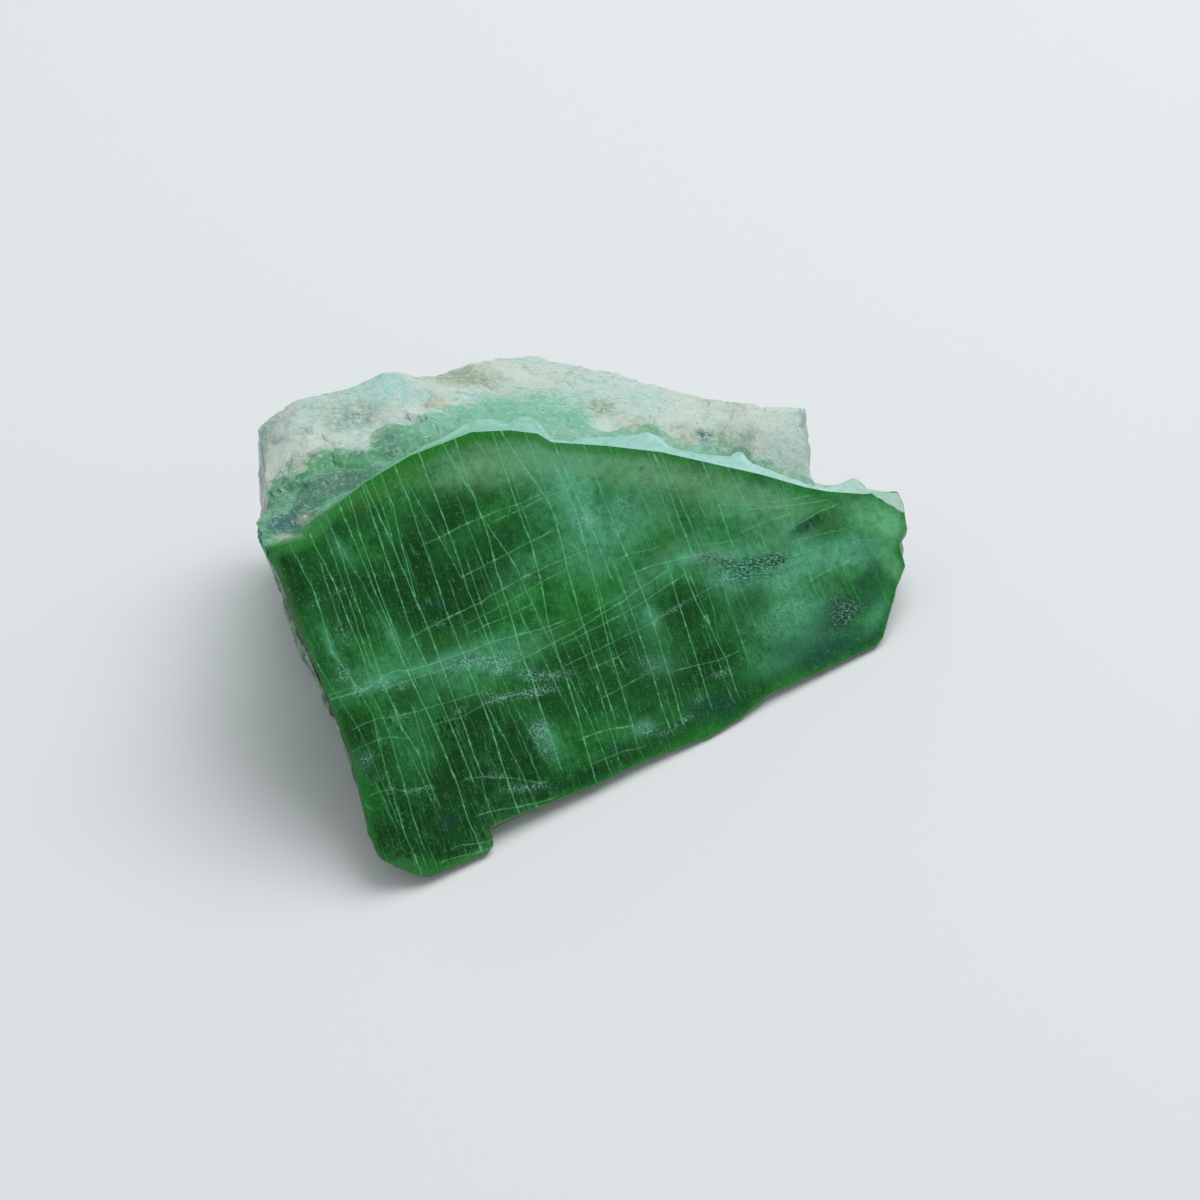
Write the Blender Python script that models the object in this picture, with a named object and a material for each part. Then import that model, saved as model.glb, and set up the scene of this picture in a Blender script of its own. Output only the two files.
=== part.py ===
"""A hand-size piece of raw green jade: one stone with a flat sawn face and a weathered rind.

The stone is lofted over closed guide lines. They run clockwise round it, as seen by someone who
looks at the sawn face: the edge of the face, the chipped crest, the toe of the ledge behind the
crest, the middle of the rind, the shoulder where the rind turns down, the waist, and the foot
where the stone meets the ground. Each point of a guide line starts with its station, the
distance round the edge of the face, and points with the same station lie on one rib.

Guide lines are in millimetres, with their zero on the ground below the middle of the face's
lower edge. The finished mesh is in metres, with its origin under the middle of the stone.
"""

import itertools

import bmesh
import bpy
import numpy as np

MM = 0.001
ORIGIN = (-1.65, 15.97, 0.0)          # the stone's own origin, measured from the guides' zero

# --- The sawn face: a plane that leans back and looks along a heading from +X ---------------
FACE_LEAN = 45.0
FACE_HEADING = -52.5
FACE_LIFT = 0.95                      # height of the face's zero, in its lower edge
FACE_HUB = (-11.8, 13.0)              # a point of the face that sees its whole edge

# Its edge, as (along the saw cut, up the face), clockwise from the top left corner.
FACE_EDGE = [
    (-17.2, 28.3), (-14.2, 27.7), (-12.5, 28.7), (-7.6, 29.7), (-3.0, 30.1), (2.8, 29.7),
    (6.0, 28.5), (8.1, 27.3), (8.9, 26.2), (13.3, 24.0), (17.6, 21.6), (21.6, 18.8),
    (25.2, 16.3), (28.5, 13.7), (30.2, 12.6), (33.3, 11.0), (34.8, 10.5), (36.3, 9.8),
    (36.3, 8.7), (35.6, 6.9), (34.3, 6.0), (33.9, 4.1), (32.3, 2.9), (30.9, 1.5),
    (29.0, -0.3), (28.0, -0.6), (21.8, -0.3), (17.0, 0.0), (13.7, -0.6), (10.8, -0.8),
    (4.0, 0.0), (-0.7, 0.15), (-8.9, 1.0), (-10.3, 1.1), (-11.0, 0.9), (-10.9, 0.3),
    (-11.1, -0.2), (-12.0, -0.6), (-17.0, -0.1), (-18.1, 0.5), (-20.1, 2.7), (-20.3, 3.7),
    (-20.1, 5.3), (-18.7, 10.9), (-18.4, 14.7), (-17.8, 22.7), (-17.3, 26.5),
]
CREST_END = 62.8                      # station where the chipped crest ends, at the right tip
FRONT_START, FRONT_END = 74.2, 123.2  # stations of the lower edge, just above the ground

# --- The crest: chips that fall away behind the edge of the face, as (station, width) ---------
CHIP_FALL = 40.0                      # degrees below the plane of the face
CHIP_WIDTH = [
    (0.0, 0.45), (3.1, 0.8), (5.0, 0.4), (7.6, 0.2), (10.0, 0.1), (12.0, 0.15), (16.0, 0.25),
    (19.0, 0.7), (21.5, 1.4), (22.8, 1.6), (23.5, 0.9), (24.0, 0.8), (24.6, 1.6), (25.4, 2.1),
    (26.9, 2.2), (27.9, 0.2), (29.5, 0.2), (31.0, 0.9), (33.8, 1.3), (37.0, 2.5), (38.0, 2.1),
    (38.6, 1.0), (40.0, 0.8), (42.4, 1.2), (44.2, 1.6), (45.6, 2.7), (46.1, 1.3), (48.5, 0.9),
    (51.0, 0.5), (52.4, 0.4), (53.5, 0.6), (55.0, 1.4), (56.3, 2.1), (56.6, 1.8), (57.0, 0.5),
    (58.2, 0.15), (74.0, 0.1), (140.0, 0.1),
]
LEDGE_DROP = [(0.0, 0.8), (14.0, 1.0), (22.0, 1.4), (50.0, 1.2), (54.0, 0.4), (60.0, 0.0),
              (148.0, 0.0), (149.5, 0.5)]

# --- The broken and weathered surfaces, as (station, x, y, z) ----------------------------------
RIND = [
    (0.0, -27.4, 17.0, 17.3), (6.0, -24.2, 19.5, 19.1), (10.0, -20.6, 21.5, 19.1),
    (14.0, -17.6, 23.8, 19.2), (18.0, -13.6, 27.0, 18.2), (22.0, -10.2, 30.4, 16.6),
    (26.3, -6.2, 33.3, 15.0), (31.0, -1.4, 33.0, 14.8), (36.0, 3.4, 32.0, 14.8),
    (42.0, 8.8, 29.6, 14.5), (46.0, 12.8, 29.6, 13.7), (50.0, 16.3, 30.2, 13.0),
    (51.0, 16.5, 29.6, 12.2), (52.2, 16.5, 28.2, 8.6), (56.5, 22.0, 28.8, 6.6),
    (59.7, 24.8, 28.4, 5.8), (62.8, 25.1, 25.8, 4.4), (66.2, 24.9, 23.3, 2.9),
    (70.2, 23.7, 19.9, 1.4), (74.2, 22.5, 17.0, 0.5), (123.2, -16.2, -10.2, 1.9),
    (127.2, -17.9, -8.5, 3.0), (133.0, -19.7, -3.4, 6.6), (136.8, -21.2, 0.3, 8.6),
    (139.4, -22.8, 2.8, 10.4), (140.8, -24.1, 4.1, 11.3), (142.6, -24.6, 5.8, 12.5),
    (144.8, -25.4, 7.9, 14.0), (148.6, -26.9, 10.9, 17.0),
]
SHOULDER = [
    (0.0, -28.2, 28.0, 13.9), (2.0, -26.6, 27.9, 16.1), (4.0, -24.8, 27.6, 17.5), (8.0, -20.7, 29.4, 17.6),
    (12.0, -17.6, 31.0, 17.4), (15.0, -15.2, 33.2, 15.3), (16.2, -14.0, 35.0, 14.6),
    (18.0, -12.2, 37.8, 12.7),
    (22.0, -9.7, 39.9, 12.0), (26.3, -5.4, 41.6, 10.8), (31.0, -0.3, 39.3, 11.6),
    (36.0, 3.9, 36.0, 13.0), (42.0, 9.6, 32.0, 14.4), (46.0, 13.2, 31.8, 13.5),
    (50.0, 16.7, 32.1, 12.8), (51.0, 16.6, 31.8, 12.0), (52.2, 16.7, 29.2, 5.8),
    (56.5, 22.0, 29.4, 4.2), (59.7, 24.8, 28.7, 3.6), (62.8, 25.1, 25.6, 2.9),
    (66.2, 24.6, 23.1, 1.7), (70.2, 23.6, 19.9, 0.8), (74.2, 22.2, 17.2, 0.3),
    (123.2, -15.9, -9.7, 1.0), (127.2, -17.8, -7.3, 1.6), (133.0, -19.9, -1.1, 4.2),
    (136.8, -21.1, 3.5, 6.0), (139.4, -22.7, 6.8, 7.6), (140.8, -24.5, 8.6, 8.5),
    (142.6, -25.4, 10.9, 9.6), (144.8, -26.5, 13.7, 11.0), (148.6, -27.8, 19.0, 13.6),
]
FOOT = [
    (0.0, -26.7, 29.0), (6.0, -23.5, 31.0), (12.0, -18.0, 33.0), (18.0, -12.0, 38.0),
    (22.0, -9.4, 40.2), (26.3, -5.4, 41.4), (31.0, 0.0, 39.2), (36.0, 4.5, 35.8),
    (42.0, 10.0, 32.6), (50.0, 15.6, 31.8), (51.2, 16.5, 31.0), (52.2, 17.1, 29.6),
    (56.5, 21.7, 28.8), (60.5, 24.4, 27.4), (64.2, 24.4, 25.0), (68.2, 23.6, 22.0),
    (73.2, 22.1, 18.3), (80.2, 16.8, 13.8), (85.2, 13.6, 11.6), (91.2, 8.1, 6.9),
    (98.2, 2.4, 3.4), (102.8, -1.5, 0.6), (111.0, -8.1, -3.9), (113.2, -9.9, -5.2),
    (115.6, -10.5, -6.9), (120.2, -13.5, -8.9), (123.2, -15.4, -8.5), (127.2, -17.5, -5.9),
    (133.2, -19.6, 1.6), (137.2, -21.2, 7.1), (144.8, -24.8, 19.6), (148.6, -26.2, 25.0),
]
FOOT_HUB = (-4.0, 16.0)               # a point of the base that sees its whole edge
WAIST_SWELL = 0.8                     # how far a full wall stands out between shoulder and foot
FULL_WALL = 8.0                       # height from which a wall has its whole swell and relief

# --- Mesh and relief -------------------------------------------------------------------------
CREST_RIB, WALL_RIB = 0.8, 1.3        # spacing of the ribs along the edge of the face
LEG_RINGS = 5                         # rings from each guide line of the loft to the next
HEART = (-4.0, 16.0, 7.0)             # relief stands out from this point inside the stone
RELIEF = [(9.0, 0.60, 3), (3.4, 0.32, 4)]     # size, height and seed of the bumps
LUMPS = [                             # (x, y, z), radius and height; a hollow's height is negative
    ((-20.2, 24.5, 18.6), 3.4, -0.9), ((-17.4, 30.5, 18.0), 3.6, 0.25),
    ((-27.0, 9.5, 17.5), 2.2, 0.5), ((-26.4, 13.5, 17.5), 1.6, -0.6),
    ((-14.0, 38.5, 6.5), 5.0, 1.1), ((-20.5, 33.0, 9.0), 4.0, -1.2),
    ((4.5, 38.0, 6.0), 5.0, -1.2), ((13.0, 33.5, 6.5), 3.5, 0.8),
    ((-26.5, 17.0, 7.0), 5.0, -0.6), ((-3.0, 29.5, 17.0), 5.0, -0.5),
    ((-28.3, 25.8, 13.1), 1.5, -0.8), ((-28.3, 24.0, 12.0), 1.3, 0.6), ((-27.4, 8.6, 17.4), 1.5, -0.6),
]
RELIEF_SHARE = [(0.0, 1.0), (50.0, 0.9), (56.0, 0.4), (123.0, 0.3), (136.0, 0.5), (148.0, 0.5)]


def face_axes():
    """Unit vectors along the saw cut, up the face, and straight out of it."""
    lean, heading = np.radians(FACE_LEAN), np.radians(FACE_HEADING)
    downhill = np.array([np.cos(heading), np.sin(heading), 0.0])
    along = np.array([-downhill[1], downhill[0], 0.0])
    up_face = np.array([0.0, 0.0, np.sin(lean)]) - downhill * np.cos(lean)
    out = np.array([0.0, 0.0, np.cos(lean)]) + downhill * np.sin(lean)
    return along, up_face, out


def corner_stations():
    """Stations of the corners of the face's edge, ending with the whole way round."""
    corners = np.array(FACE_EDGE)
    runs = np.linalg.norm(np.roll(corners, -1, axis=0) - corners, axis=1)
    return np.concatenate([[0.0], np.cumsum(runs)])


def rib_stations():
    """Stations of the ribs: every corner of the edge, and even steps from corner to corner."""
    ribs = []
    for start, end in itertools.pairwise(corner_stations()):
        spacing = CREST_RIB if end <= CREST_END else WALL_RIB
        count = max(1, round((end - start) / spacing))
        ribs.extend(np.linspace(start, end, count, endpoint=False))
    return np.array(ribs)


def on_guide(guide, stations):
    """Points of a closed guide line at some stations, on straight runs between its own points."""
    table = np.array(guide)
    whole = corner_stations()[-1]
    return np.stack([np.interp(stations, table[:, 0], c, period=whole) for c in table[:, 1:].T], -1)


def on_edge(stations):
    """Points of the face's edge at some stations, as (along the saw cut, up the face)."""
    corners = corner_stations()
    closed = np.array(FACE_EDGE + FACE_EDGE[:1])
    return np.stack([np.interp(stations % corners[-1], corners, c) for c in closed.T], -1)


def in_space(flat):
    """Places in space of points given as (along the saw cut, up the face)."""
    along, up_face, _ = face_axes()
    return np.asarray(flat) @ np.stack([along, up_face]) + (0.0, 0.0, FACE_LIFT)


def smooth_leg(before, start, end, after, share):
    """Point at a share of the way from start to end on a Catmull-Rom curve."""
    square, cube = share**2, share**3
    return 0.5 * (
        2.0 * start
        + (end - before) * share
        + (2.0 * before - 5.0 * start + 4.0 * end - after) * square
        + (3.0 * start - before - 3.0 * end + after) * cube
    )


def guide_lines(stations):
    """The guide lines that the stone is lofted over, from the edge of the face to the foot."""
    along, up_face, out = face_axes()
    edge = in_space(on_edge(stations))
    run = on_edge(stations + 4.0) - on_edge(stations - 4.0)
    aside = np.stack([-run[:, 1], run[:, 0]], -1) / np.linalg.norm(run, axis=1, keepdims=True)
    fall = np.radians(CHIP_FALL)
    chip = aside @ np.stack([along, up_face]) * np.cos(fall) - out * np.sin(fall)
    crest = edge + chip * on_guide(CHIP_WIDTH, stations)

    foot = np.pad(on_guide(FOOT, stations), ((0, 0), (0, 1)))
    front = ((stations > FRONT_START) & (stations < FRONT_END))[:, None]
    rind = np.where(front, crest * 0.7 + foot * 0.3, on_guide(RIND, stations))
    shoulder = np.where(front, crest * 0.3 + foot * 0.7, on_guide(SHOULDER, stations))
    toe = crest + (rind - crest) * 0.06 + on_guide(LEDGE_DROP, stations) * (0.0, 0.45, -0.9)

    away = foot - (*FOOT_HUB, 0.0)
    away /= np.linalg.norm(away, axis=1, keepdims=True)
    swell = WAIST_SWELL * np.clip(shoulder[:, 2:] / FULL_WALL, 0.0, 1.0)
    waist = (shoulder + foot) / 2.0 + away * swell
    return edge, crest, toe, rind, shoulder, waist, foot


def bumps(points, size, seed):
    """Smooth heights from -1 to 1: random values on a cubic lattice, blended between its points."""
    values = np.random.default_rng(seed).uniform(-1.0, 1.0, (32, 32, 32))
    cell = np.floor(points / size).astype(int)
    share = points / size - cell
    share = share * share * (3.0 - 2.0 * share)
    total = np.zeros(len(points))
    for corner in itertools.product((0, 1), repeat=3):
        weight = np.prod(np.where(corner, share, 1.0 - share), -1)
        total += weight * values[tuple(((cell + corner) % 32).T)]
    return total


def add_relief(ring, stations):
    """Push the points of a ring out of the stone by the bumps and lumps, less near the ground."""
    outward = ring - HEART
    outward /= np.linalg.norm(outward, axis=1, keepdims=True)
    height = sum(tall * bumps(ring, size, seed) for size, tall, seed in RELIEF)
    height *= on_guide(RELIEF_SHARE, stations)[:, 0]
    for centre, radius, tall in LUMPS:
        height += tall * np.exp(-(np.linalg.norm(ring - centre, axis=1) / radius) ** 2)
    return ring + outward * (height * np.clip(ring[:, 2] / FULL_WALL, 0.0, 1.0))[:, None]


def loft_rings(stations):
    """All rings of the loft, from the edge of the face to the foot."""
    edge, crest, *legs = guide_lines(stations)
    rings = [edge, crest, legs[0]]
    padded = [legs[0], *legs, legs[-1]]
    for before, start, end, after in zip(padded, padded[1:], padded[2:], padded[3:]):
        for share in np.linspace(0.0, 1.0, LEG_RINGS + 1)[1:]:
            ring = smooth_leg(before, start, end, after, share)
            rings.append(add_relief(ring, stations))
    rings[-1] = legs[-1]
    return rings


def build_stone():
    """One closed mesh: the rings joined by strips, the sawn face and the base each a flat fan."""
    mesh = bmesh.new()
    rings = [
        [mesh.verts.new((point - ORIGIN) * MM) for point in ring] for ring in loft_rings(rib_stations())
    ]
    face_hub = mesh.verts.new((in_space(FACE_HUB) - ORIGIN) * MM)
    foot_hub = mesh.verts.new((np.array([*FOOT_HUB, 0.0]) - ORIGIN) * MM)
    for upper, lower in itertools.pairwise(rings):
        for here in range(len(upper)):
            before = here - 1
            mesh.faces.new((upper[before], upper[here], lower[here], lower[before]))
    for here in range(len(rings[0])):
        before = here - 1
        mesh.faces.new((face_hub, rings[0][here], rings[0][before]))
        mesh.faces.new((foot_hub, rings[-1][before], rings[-1][here]))
    bmesh.ops.triangulate(mesh, faces=mesh.faces)
    data = bpy.data.meshes.new("jade_stone")
    mesh.to_mesh(data)
    mesh.free()
    return data


def jade_material():
    """Green translucent stone with the dull polish of a saw cut."""
    material = bpy.data.materials.new("green_jade")
    material.use_nodes = True
    shader = material.node_tree.nodes["Principled BSDF"]
    shader.inputs["Base Color"].default_value = (0.045, 0.22, 0.07, 1.0)
    shader.inputs["Roughness"].default_value = 0.35
    shader.inputs["Metallic"].default_value = 0.0
    return material


for thing in list(bpy.data.objects):
    bpy.data.objects.remove(thing)

stone = bpy.data.objects.new("jade_stone", build_stone())
stone.data.materials.append(jade_material())
bpy.context.collection.objects.link(stone)
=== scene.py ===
"""A hand-size piece of raw green jade, resting on a pale floor in soft studio light."""
import itertools

import bpy
import numpy as np
from mathutils import Matrix, Vector


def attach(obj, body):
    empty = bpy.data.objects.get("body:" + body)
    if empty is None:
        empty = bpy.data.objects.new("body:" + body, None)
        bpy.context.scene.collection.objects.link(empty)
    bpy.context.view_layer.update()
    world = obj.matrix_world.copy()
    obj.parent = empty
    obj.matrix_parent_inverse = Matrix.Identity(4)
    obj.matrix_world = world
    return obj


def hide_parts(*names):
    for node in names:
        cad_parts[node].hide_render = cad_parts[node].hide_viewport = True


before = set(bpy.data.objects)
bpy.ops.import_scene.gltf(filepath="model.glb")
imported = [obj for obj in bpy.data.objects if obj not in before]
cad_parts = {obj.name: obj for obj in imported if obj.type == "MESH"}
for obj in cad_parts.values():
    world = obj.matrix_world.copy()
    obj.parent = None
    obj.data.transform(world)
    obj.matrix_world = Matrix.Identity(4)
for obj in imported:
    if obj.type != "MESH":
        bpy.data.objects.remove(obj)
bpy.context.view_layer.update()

# ----------------------------------------------------------------------------------------------
# The stone. One piece of green nephrite jade: one side was sawn flat and polished, the crest
# above the cut has chipped, and the rest is broken walls and weathered rind. Its surface is
# lofted over closed guide lines, from the edge of the sawn face down to the foot.
# ----------------------------------------------------------------------------------------------
MM = 0.001                            # all lengths of the stone are in millimetres
ORIGIN = (-1.65, 15.97, 0.0)          # the stone's own origin, measured from the guides' zero
FACE_LEAN = 45.0                      # how far the sawn face leans back, in degrees
FACE_HEADING = -52.5                  # the way it looks, in degrees from +X
FACE_LIFT = 0.95                      # height of the face's zero, in its lower edge
FACE_HUB = (-11.8, 13.0)              # a point of the face that sees its whole edge

# The edge of the sawn face, as (along the cut, up the face), clockwise from its top left corner.
# The way round this edge is the station, with which each row of the guide tables starts.
FACE_EDGE = [
    (-17.2, 28.3), (-14.2, 27.7), (-12.5, 28.7), (-7.6, 29.7), (-3.0, 30.1), (2.8, 29.7),
    (6.0, 28.5), (8.1, 27.3), (8.9, 26.2), (13.3, 24.0), (17.6, 21.6), (21.6, 18.8),
    (25.2, 16.3), (28.5, 13.7), (30.2, 12.6), (33.3, 11.0), (34.8, 10.5), (36.3, 9.8),
    (36.3, 8.7), (35.6, 6.9), (34.3, 6.0), (33.9, 4.1), (32.3, 2.9), (30.9, 1.5),
    (29.0, -0.3), (28.0, -0.6), (21.8, -0.3), (17.0, 0.0), (13.7, -0.6), (10.8, -0.8),
    (4.0, 0.0), (-0.7, 0.15), (-8.9, 1.0), (-10.3, 1.1), (-11.0, 0.9), (-10.9, 0.3),
    (-11.1, -0.2), (-12.0, -0.6), (-17.0, -0.1), (-18.1, 0.5), (-20.1, 2.7), (-20.3, 3.7),
    (-20.1, 5.3), (-18.7, 10.9), (-18.4, 14.7), (-17.8, 22.7), (-17.3, 26.5),
]
CREST_END = 62.8                      # station where the crest ends, at the right tip
FRONT_START, FRONT_END = 74.2, 123.2  # the lower edge, where the face comes down to the floor
FRONT_RIND, FRONT_SHOULDER = 0.3, 0.7 # shares of the way from crest to foot, along that edge
EDGE_SPAN = 4.0                       # how far to each side the edge's direction is taken from
EDGE_STEP = 0.1                       # spacing of the places that distances to it are taken from
CHIP_FALL = 40.0                      # how steeply the chips fall away behind the face
CHIP_SAG = 0.45                       # how hollow a chip is, as a share of its width
NICK_LENGTH, NICK_DEPTH = 0.9, 0.24   # small teeth all round the edge of the face
NICK_START, NICK_SEED = 0.2, 21       # level of their noise where they begin, and its seed

# How far the chips reach out from the edge of the face.
CHIP_WIDTH = [
    (0.0, 0.45), (3.1, 0.8), (5.0, 0.4), (7.6, 0.2), (10.0, 0.1), (12.0, 0.15), (16.0, 0.25),
    (19.0, 0.7), (21.5, 1.4), (22.8, 1.6), (23.5, 0.9), (24.0, 0.8), (24.6, 1.6), (25.4, 2.1),
    (26.9, 2.2), (27.9, 0.2), (29.5, 0.2), (31.0, 0.9), (33.8, 1.3), (37.0, 2.5), (38.0, 2.1),
    (38.6, 1.0), (40.0, 0.8), (42.4, 1.2), (44.2, 1.6), (45.6, 2.7), (46.1, 1.3), (48.5, 0.9),
    (51.0, 0.5), (52.4, 0.4), (53.5, 0.6), (55.0, 1.4), (56.3, 2.1), (56.6, 1.8), (57.0, 0.5),
    (58.2, 0.15), (74.0, 0.1), (140.0, 0.1),
]

# How far the stone steps down behind the chips, and the direction and reach of that step.
LEDGE_DROP = [
    (0.0, 0.8), (14.0, 1.0), (22.0, 1.4), (50.0, 1.2), (54.0, 0.4), (60.0, 0.0), (148.0, 0.0),
    (149.5, 0.5),
]
LEDGE_FALL = (0.0, 0.45, -0.9)
LEDGE_REACH = 0.06                    # as a share of the way from the crest to the rind

# The top of the rind, the shoulder where the walls begin, and the foot, as (x, y, z) or (x, y).
RIND = [
    (0.0, -27.4, 17.0, 17.3), (6.0, -24.2, 19.5, 19.1), (10.0, -20.6, 21.5, 19.1),
    (14.0, -17.6, 23.8, 19.2), (18.0, -13.6, 27.0, 18.2), (22.0, -10.2, 30.4, 16.6),
    (26.3, -6.2, 33.3, 15.0), (31.0, -1.4, 33.0, 14.8), (36.0, 3.4, 32.0, 14.8),
    (42.0, 8.8, 29.6, 14.5), (46.0, 12.8, 29.6, 13.7), (50.0, 16.3, 30.2, 13.0),
    (51.0, 16.5, 29.6, 12.2), (52.2, 16.5, 28.2, 8.6), (56.5, 22.0, 28.8, 6.6),
    (59.7, 24.8, 28.4, 5.8), (62.8, 25.1, 25.8, 4.4), (66.2, 24.9, 23.3, 2.9),
    (70.2, 23.7, 19.9, 1.4), (74.2, 22.5, 17.0, 0.5), (123.2, -16.2, -10.2, 1.9),
    (127.2, -17.9, -8.5, 3.0), (133.0, -19.7, -3.4, 6.6), (136.8, -21.2, 0.3, 8.6),
    (139.4, -22.8, 2.8, 10.4), (140.8, -24.1, 4.1, 11.3), (142.6, -24.6, 5.8, 12.5),
    (144.8, -25.4, 7.9, 14.0), (148.6, -26.9, 10.9, 17.0),
]
SHOULDER = [
    (0.0, -28.2, 28.0, 13.9), (2.0, -26.6, 27.9, 16.1), (4.0, -24.8, 27.6, 17.5),
    (8.0, -20.7, 29.4, 17.6), (12.0, -17.6, 31.0, 17.4), (15.0, -15.2, 33.2, 15.3),
    (16.2, -14.0, 35.0, 14.6), (18.0, -12.2, 37.8, 12.7), (22.0, -9.7, 39.9, 12.0),
    (26.3, -5.4, 41.6, 10.8), (31.0, -0.3, 39.3, 11.6), (36.0, 3.9, 36.0, 13.0),
    (42.0, 9.6, 32.0, 14.4), (46.0, 13.2, 31.8, 13.5), (50.0, 16.7, 32.1, 12.8),
    (51.0, 16.6, 31.8, 12.0), (52.2, 16.7, 29.2, 5.8), (56.5, 22.0, 29.4, 4.2),
    (59.7, 24.8, 28.7, 3.6), (62.8, 25.1, 25.6, 2.9), (66.2, 24.6, 23.1, 1.7),
    (70.2, 23.6, 19.9, 0.8), (74.2, 22.2, 17.2, 0.3), (123.2, -15.9, -9.7, 1.0),
    (127.2, -17.8, -7.3, 1.6), (133.0, -19.9, -1.1, 4.2), (136.8, -21.1, 3.5, 6.0),
    (139.4, -22.7, 6.8, 7.6), (140.8, -24.5, 8.6, 8.5), (142.6, -25.4, 10.9, 9.6),
    (144.8, -26.5, 13.7, 11.0), (148.6, -27.8, 19.0, 13.6),
]
FOOT = [
    (0.0, -26.7, 29.0), (6.0, -23.5, 31.0), (12.0, -18.0, 33.0), (18.0, -12.0, 38.0),
    (22.0, -9.4, 40.2), (26.3, -5.4, 41.4), (31.0, 0.0, 39.2), (36.0, 4.5, 35.8),
    (42.0, 10.0, 32.6), (50.0, 15.6, 31.8), (51.2, 16.5, 31.0), (52.2, 17.1, 29.6),
    (56.5, 21.7, 28.8), (60.5, 24.4, 27.4), (64.2, 24.4, 25.0), (68.2, 23.6, 22.0),
    (73.2, 22.1, 18.3), (80.2, 16.8, 13.8), (85.2, 13.6, 11.6), (91.2, 8.1, 6.9),
    (98.2, 2.4, 3.4), (102.8, -1.5, 0.6), (111.0, -8.1, -3.9), (113.2, -9.9, -5.2),
    (115.6, -10.5, -6.9), (120.2, -13.5, -8.9), (123.2, -15.4, -8.5), (127.2, -17.5, -5.9),
    (133.2, -19.6, 1.6), (137.2, -21.2, 7.1), (144.8, -24.8, 19.6), (148.6, -26.2, 25.0),
]
FOOT_HUB = (-4.0, 16.0)               # middle of the base
HEART = (-4.0, 16.0, 7.0)             # point that all relief stands out from
WAIST_SWELL = 0.8                     # how far the walls swell between shoulder and foot
FULL_WALL = 8.0                       # height from which walls have their full swell and relief

# Lumps of the whole stone, and their share round it, then the angular grain and the knobbles,
# each as size, height and seed. A crack has size, half width, depth and seed, and its width is
# measured in the random height that it follows.
RELIEF = [(9.0, 0.60, 3), (3.4, 0.32, 4)]
RELIEF_SHARE = [(0.0, 1.0), (50.0, 0.9), (56.0, 0.4), (123.0, 0.3), (136.0, 0.5), (148.0, 0.5)]
FINE_GRAIN, COARSE_GRAIN = (1.1, 0.05, 11), (2.7, 0.16, 12)
CREST_GRAIN, CREST_REACH = 0.12, 5.0  # extra height of the fine grain below the crest
KNOBBLES = [(2.2, 0.16, 15), (1.3, 0.11, 13), (0.7, 0.06, 14)]
CRACKS = [(6.5, 0.035, 0.32, 19), (4.0, 0.03, 0.16, 20)]
CRACK_SWEEP, CRACK_BEND = 3.0, 1.2    # size of the bends in the cracks, and how far they reach
CRACK_SEEDS = (16, 17, 18)
FINE_START = 1.5                      # depth and height over which the fine relief sets in

# Share of the fine relief round the stone.
GRAIN_SHARE = [
    (0.0, 0.9), (1.0, 1.0), (60.0, 1.0), (64.0, 0.7), (74.0, 0.5), (120.0, 0.5), (130.0, 0.8),
    (148.0, 0.9),
]

# How much of the wall has the weathered skin, and how far green stone reaches below the crest.
SKIN = [
    (0.0, 1.0), (50.0, 1.0), (58.0, 0.8), (64.0, 0.2), (72.0, 0.0), (123.0, 0.0), (138.0, 0.15),
    (146.0, 0.35), (150.0, 1.0),
]
GREEN_REACH = [
    (0.0, 11.0), (3.0, 10.5), (8.0, 7.2), (16.0, 6.0), (22.0, 5.0), (26.0, 6.0), (30.0, 6.0),
    (33.0, 2.5), (40.0, 1.4), (46.0, 0.8), (52.0, 0.6), (62.0, 1.0), (148.0, 8.0),
]

# Single lumps and hollows: their middle, radius and height.
LUMPS = [
    ((-20.2, 24.5, 18.6), 3.4, -0.9), ((-17.4, 30.5, 18.0), 3.6, 0.25),
    ((-27.0, 9.5, 17.5), 2.2, 0.5), ((-26.4, 13.5, 17.5), 1.6, -0.6),
    ((-14.0, 38.5, 6.5), 5.0, 1.1), ((-20.5, 33.0, 9.0), 4.0, -1.2),
    ((4.5, 38.0, 6.0), 5.0, -1.2), ((13.0, 33.5, 6.5), 3.5, 0.8), ((-26.5, 17.0, 7.0), 5.0, -0.6),
    ((-3.0, 29.5, 17.0), 5.0, -0.5), ((-28.3, 25.8, 13.1), 1.5, -0.8),
    ((-28.3, 24.0, 12.0), 1.3, 0.6), ((-27.4, 8.6, 17.4), 1.5, -0.6),
]

CREST_RIB, WALL_RIB = 0.27, 0.42      # spacing of the ribs along the edge of the face
CHIP_RINGS, LEDGE_RINGS = 6, 5
LEG_RINGS = (34, 30, 20, 20)          # toe to rind, rind to shoulder, shoulder to waist, to foot
FACE_RINGS, BASE_RINGS = 56, 5
SHARP_ANGLE = 32.0                    # edges that bend more than this are drawn sharp
# The clear tip's pale colour is painted glow of light through the thin stone.
SHARD_START = 42.3                    # how far along and up the face its clear tip starts
SAWN_JADE, FRESH_CHIP, ROUGH_STONE = range(3)
LATTICE, GRAIN_LATTICE = 32, 16       # values each way before the seeded noises repeat
FAR_OFF, FAR_PAST = 99.0, 9.0         # stand for points off the face, or past green and veins


def face_axes():
    """Unit vectors along the saw cut, up the face, and straight out of it."""
    lean, heading = np.radians(FACE_LEAN), np.radians(FACE_HEADING)
    downhill = np.array([np.cos(heading), np.sin(heading), 0.0])
    along = np.array([-downhill[1], downhill[0], 0.0])
    up_face = np.array([0.0, 0.0, np.sin(lean)]) - downhill * np.cos(lean)
    out = np.array([0.0, 0.0, np.cos(lean)]) + downhill * np.sin(lean)
    return along, up_face, out


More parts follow.
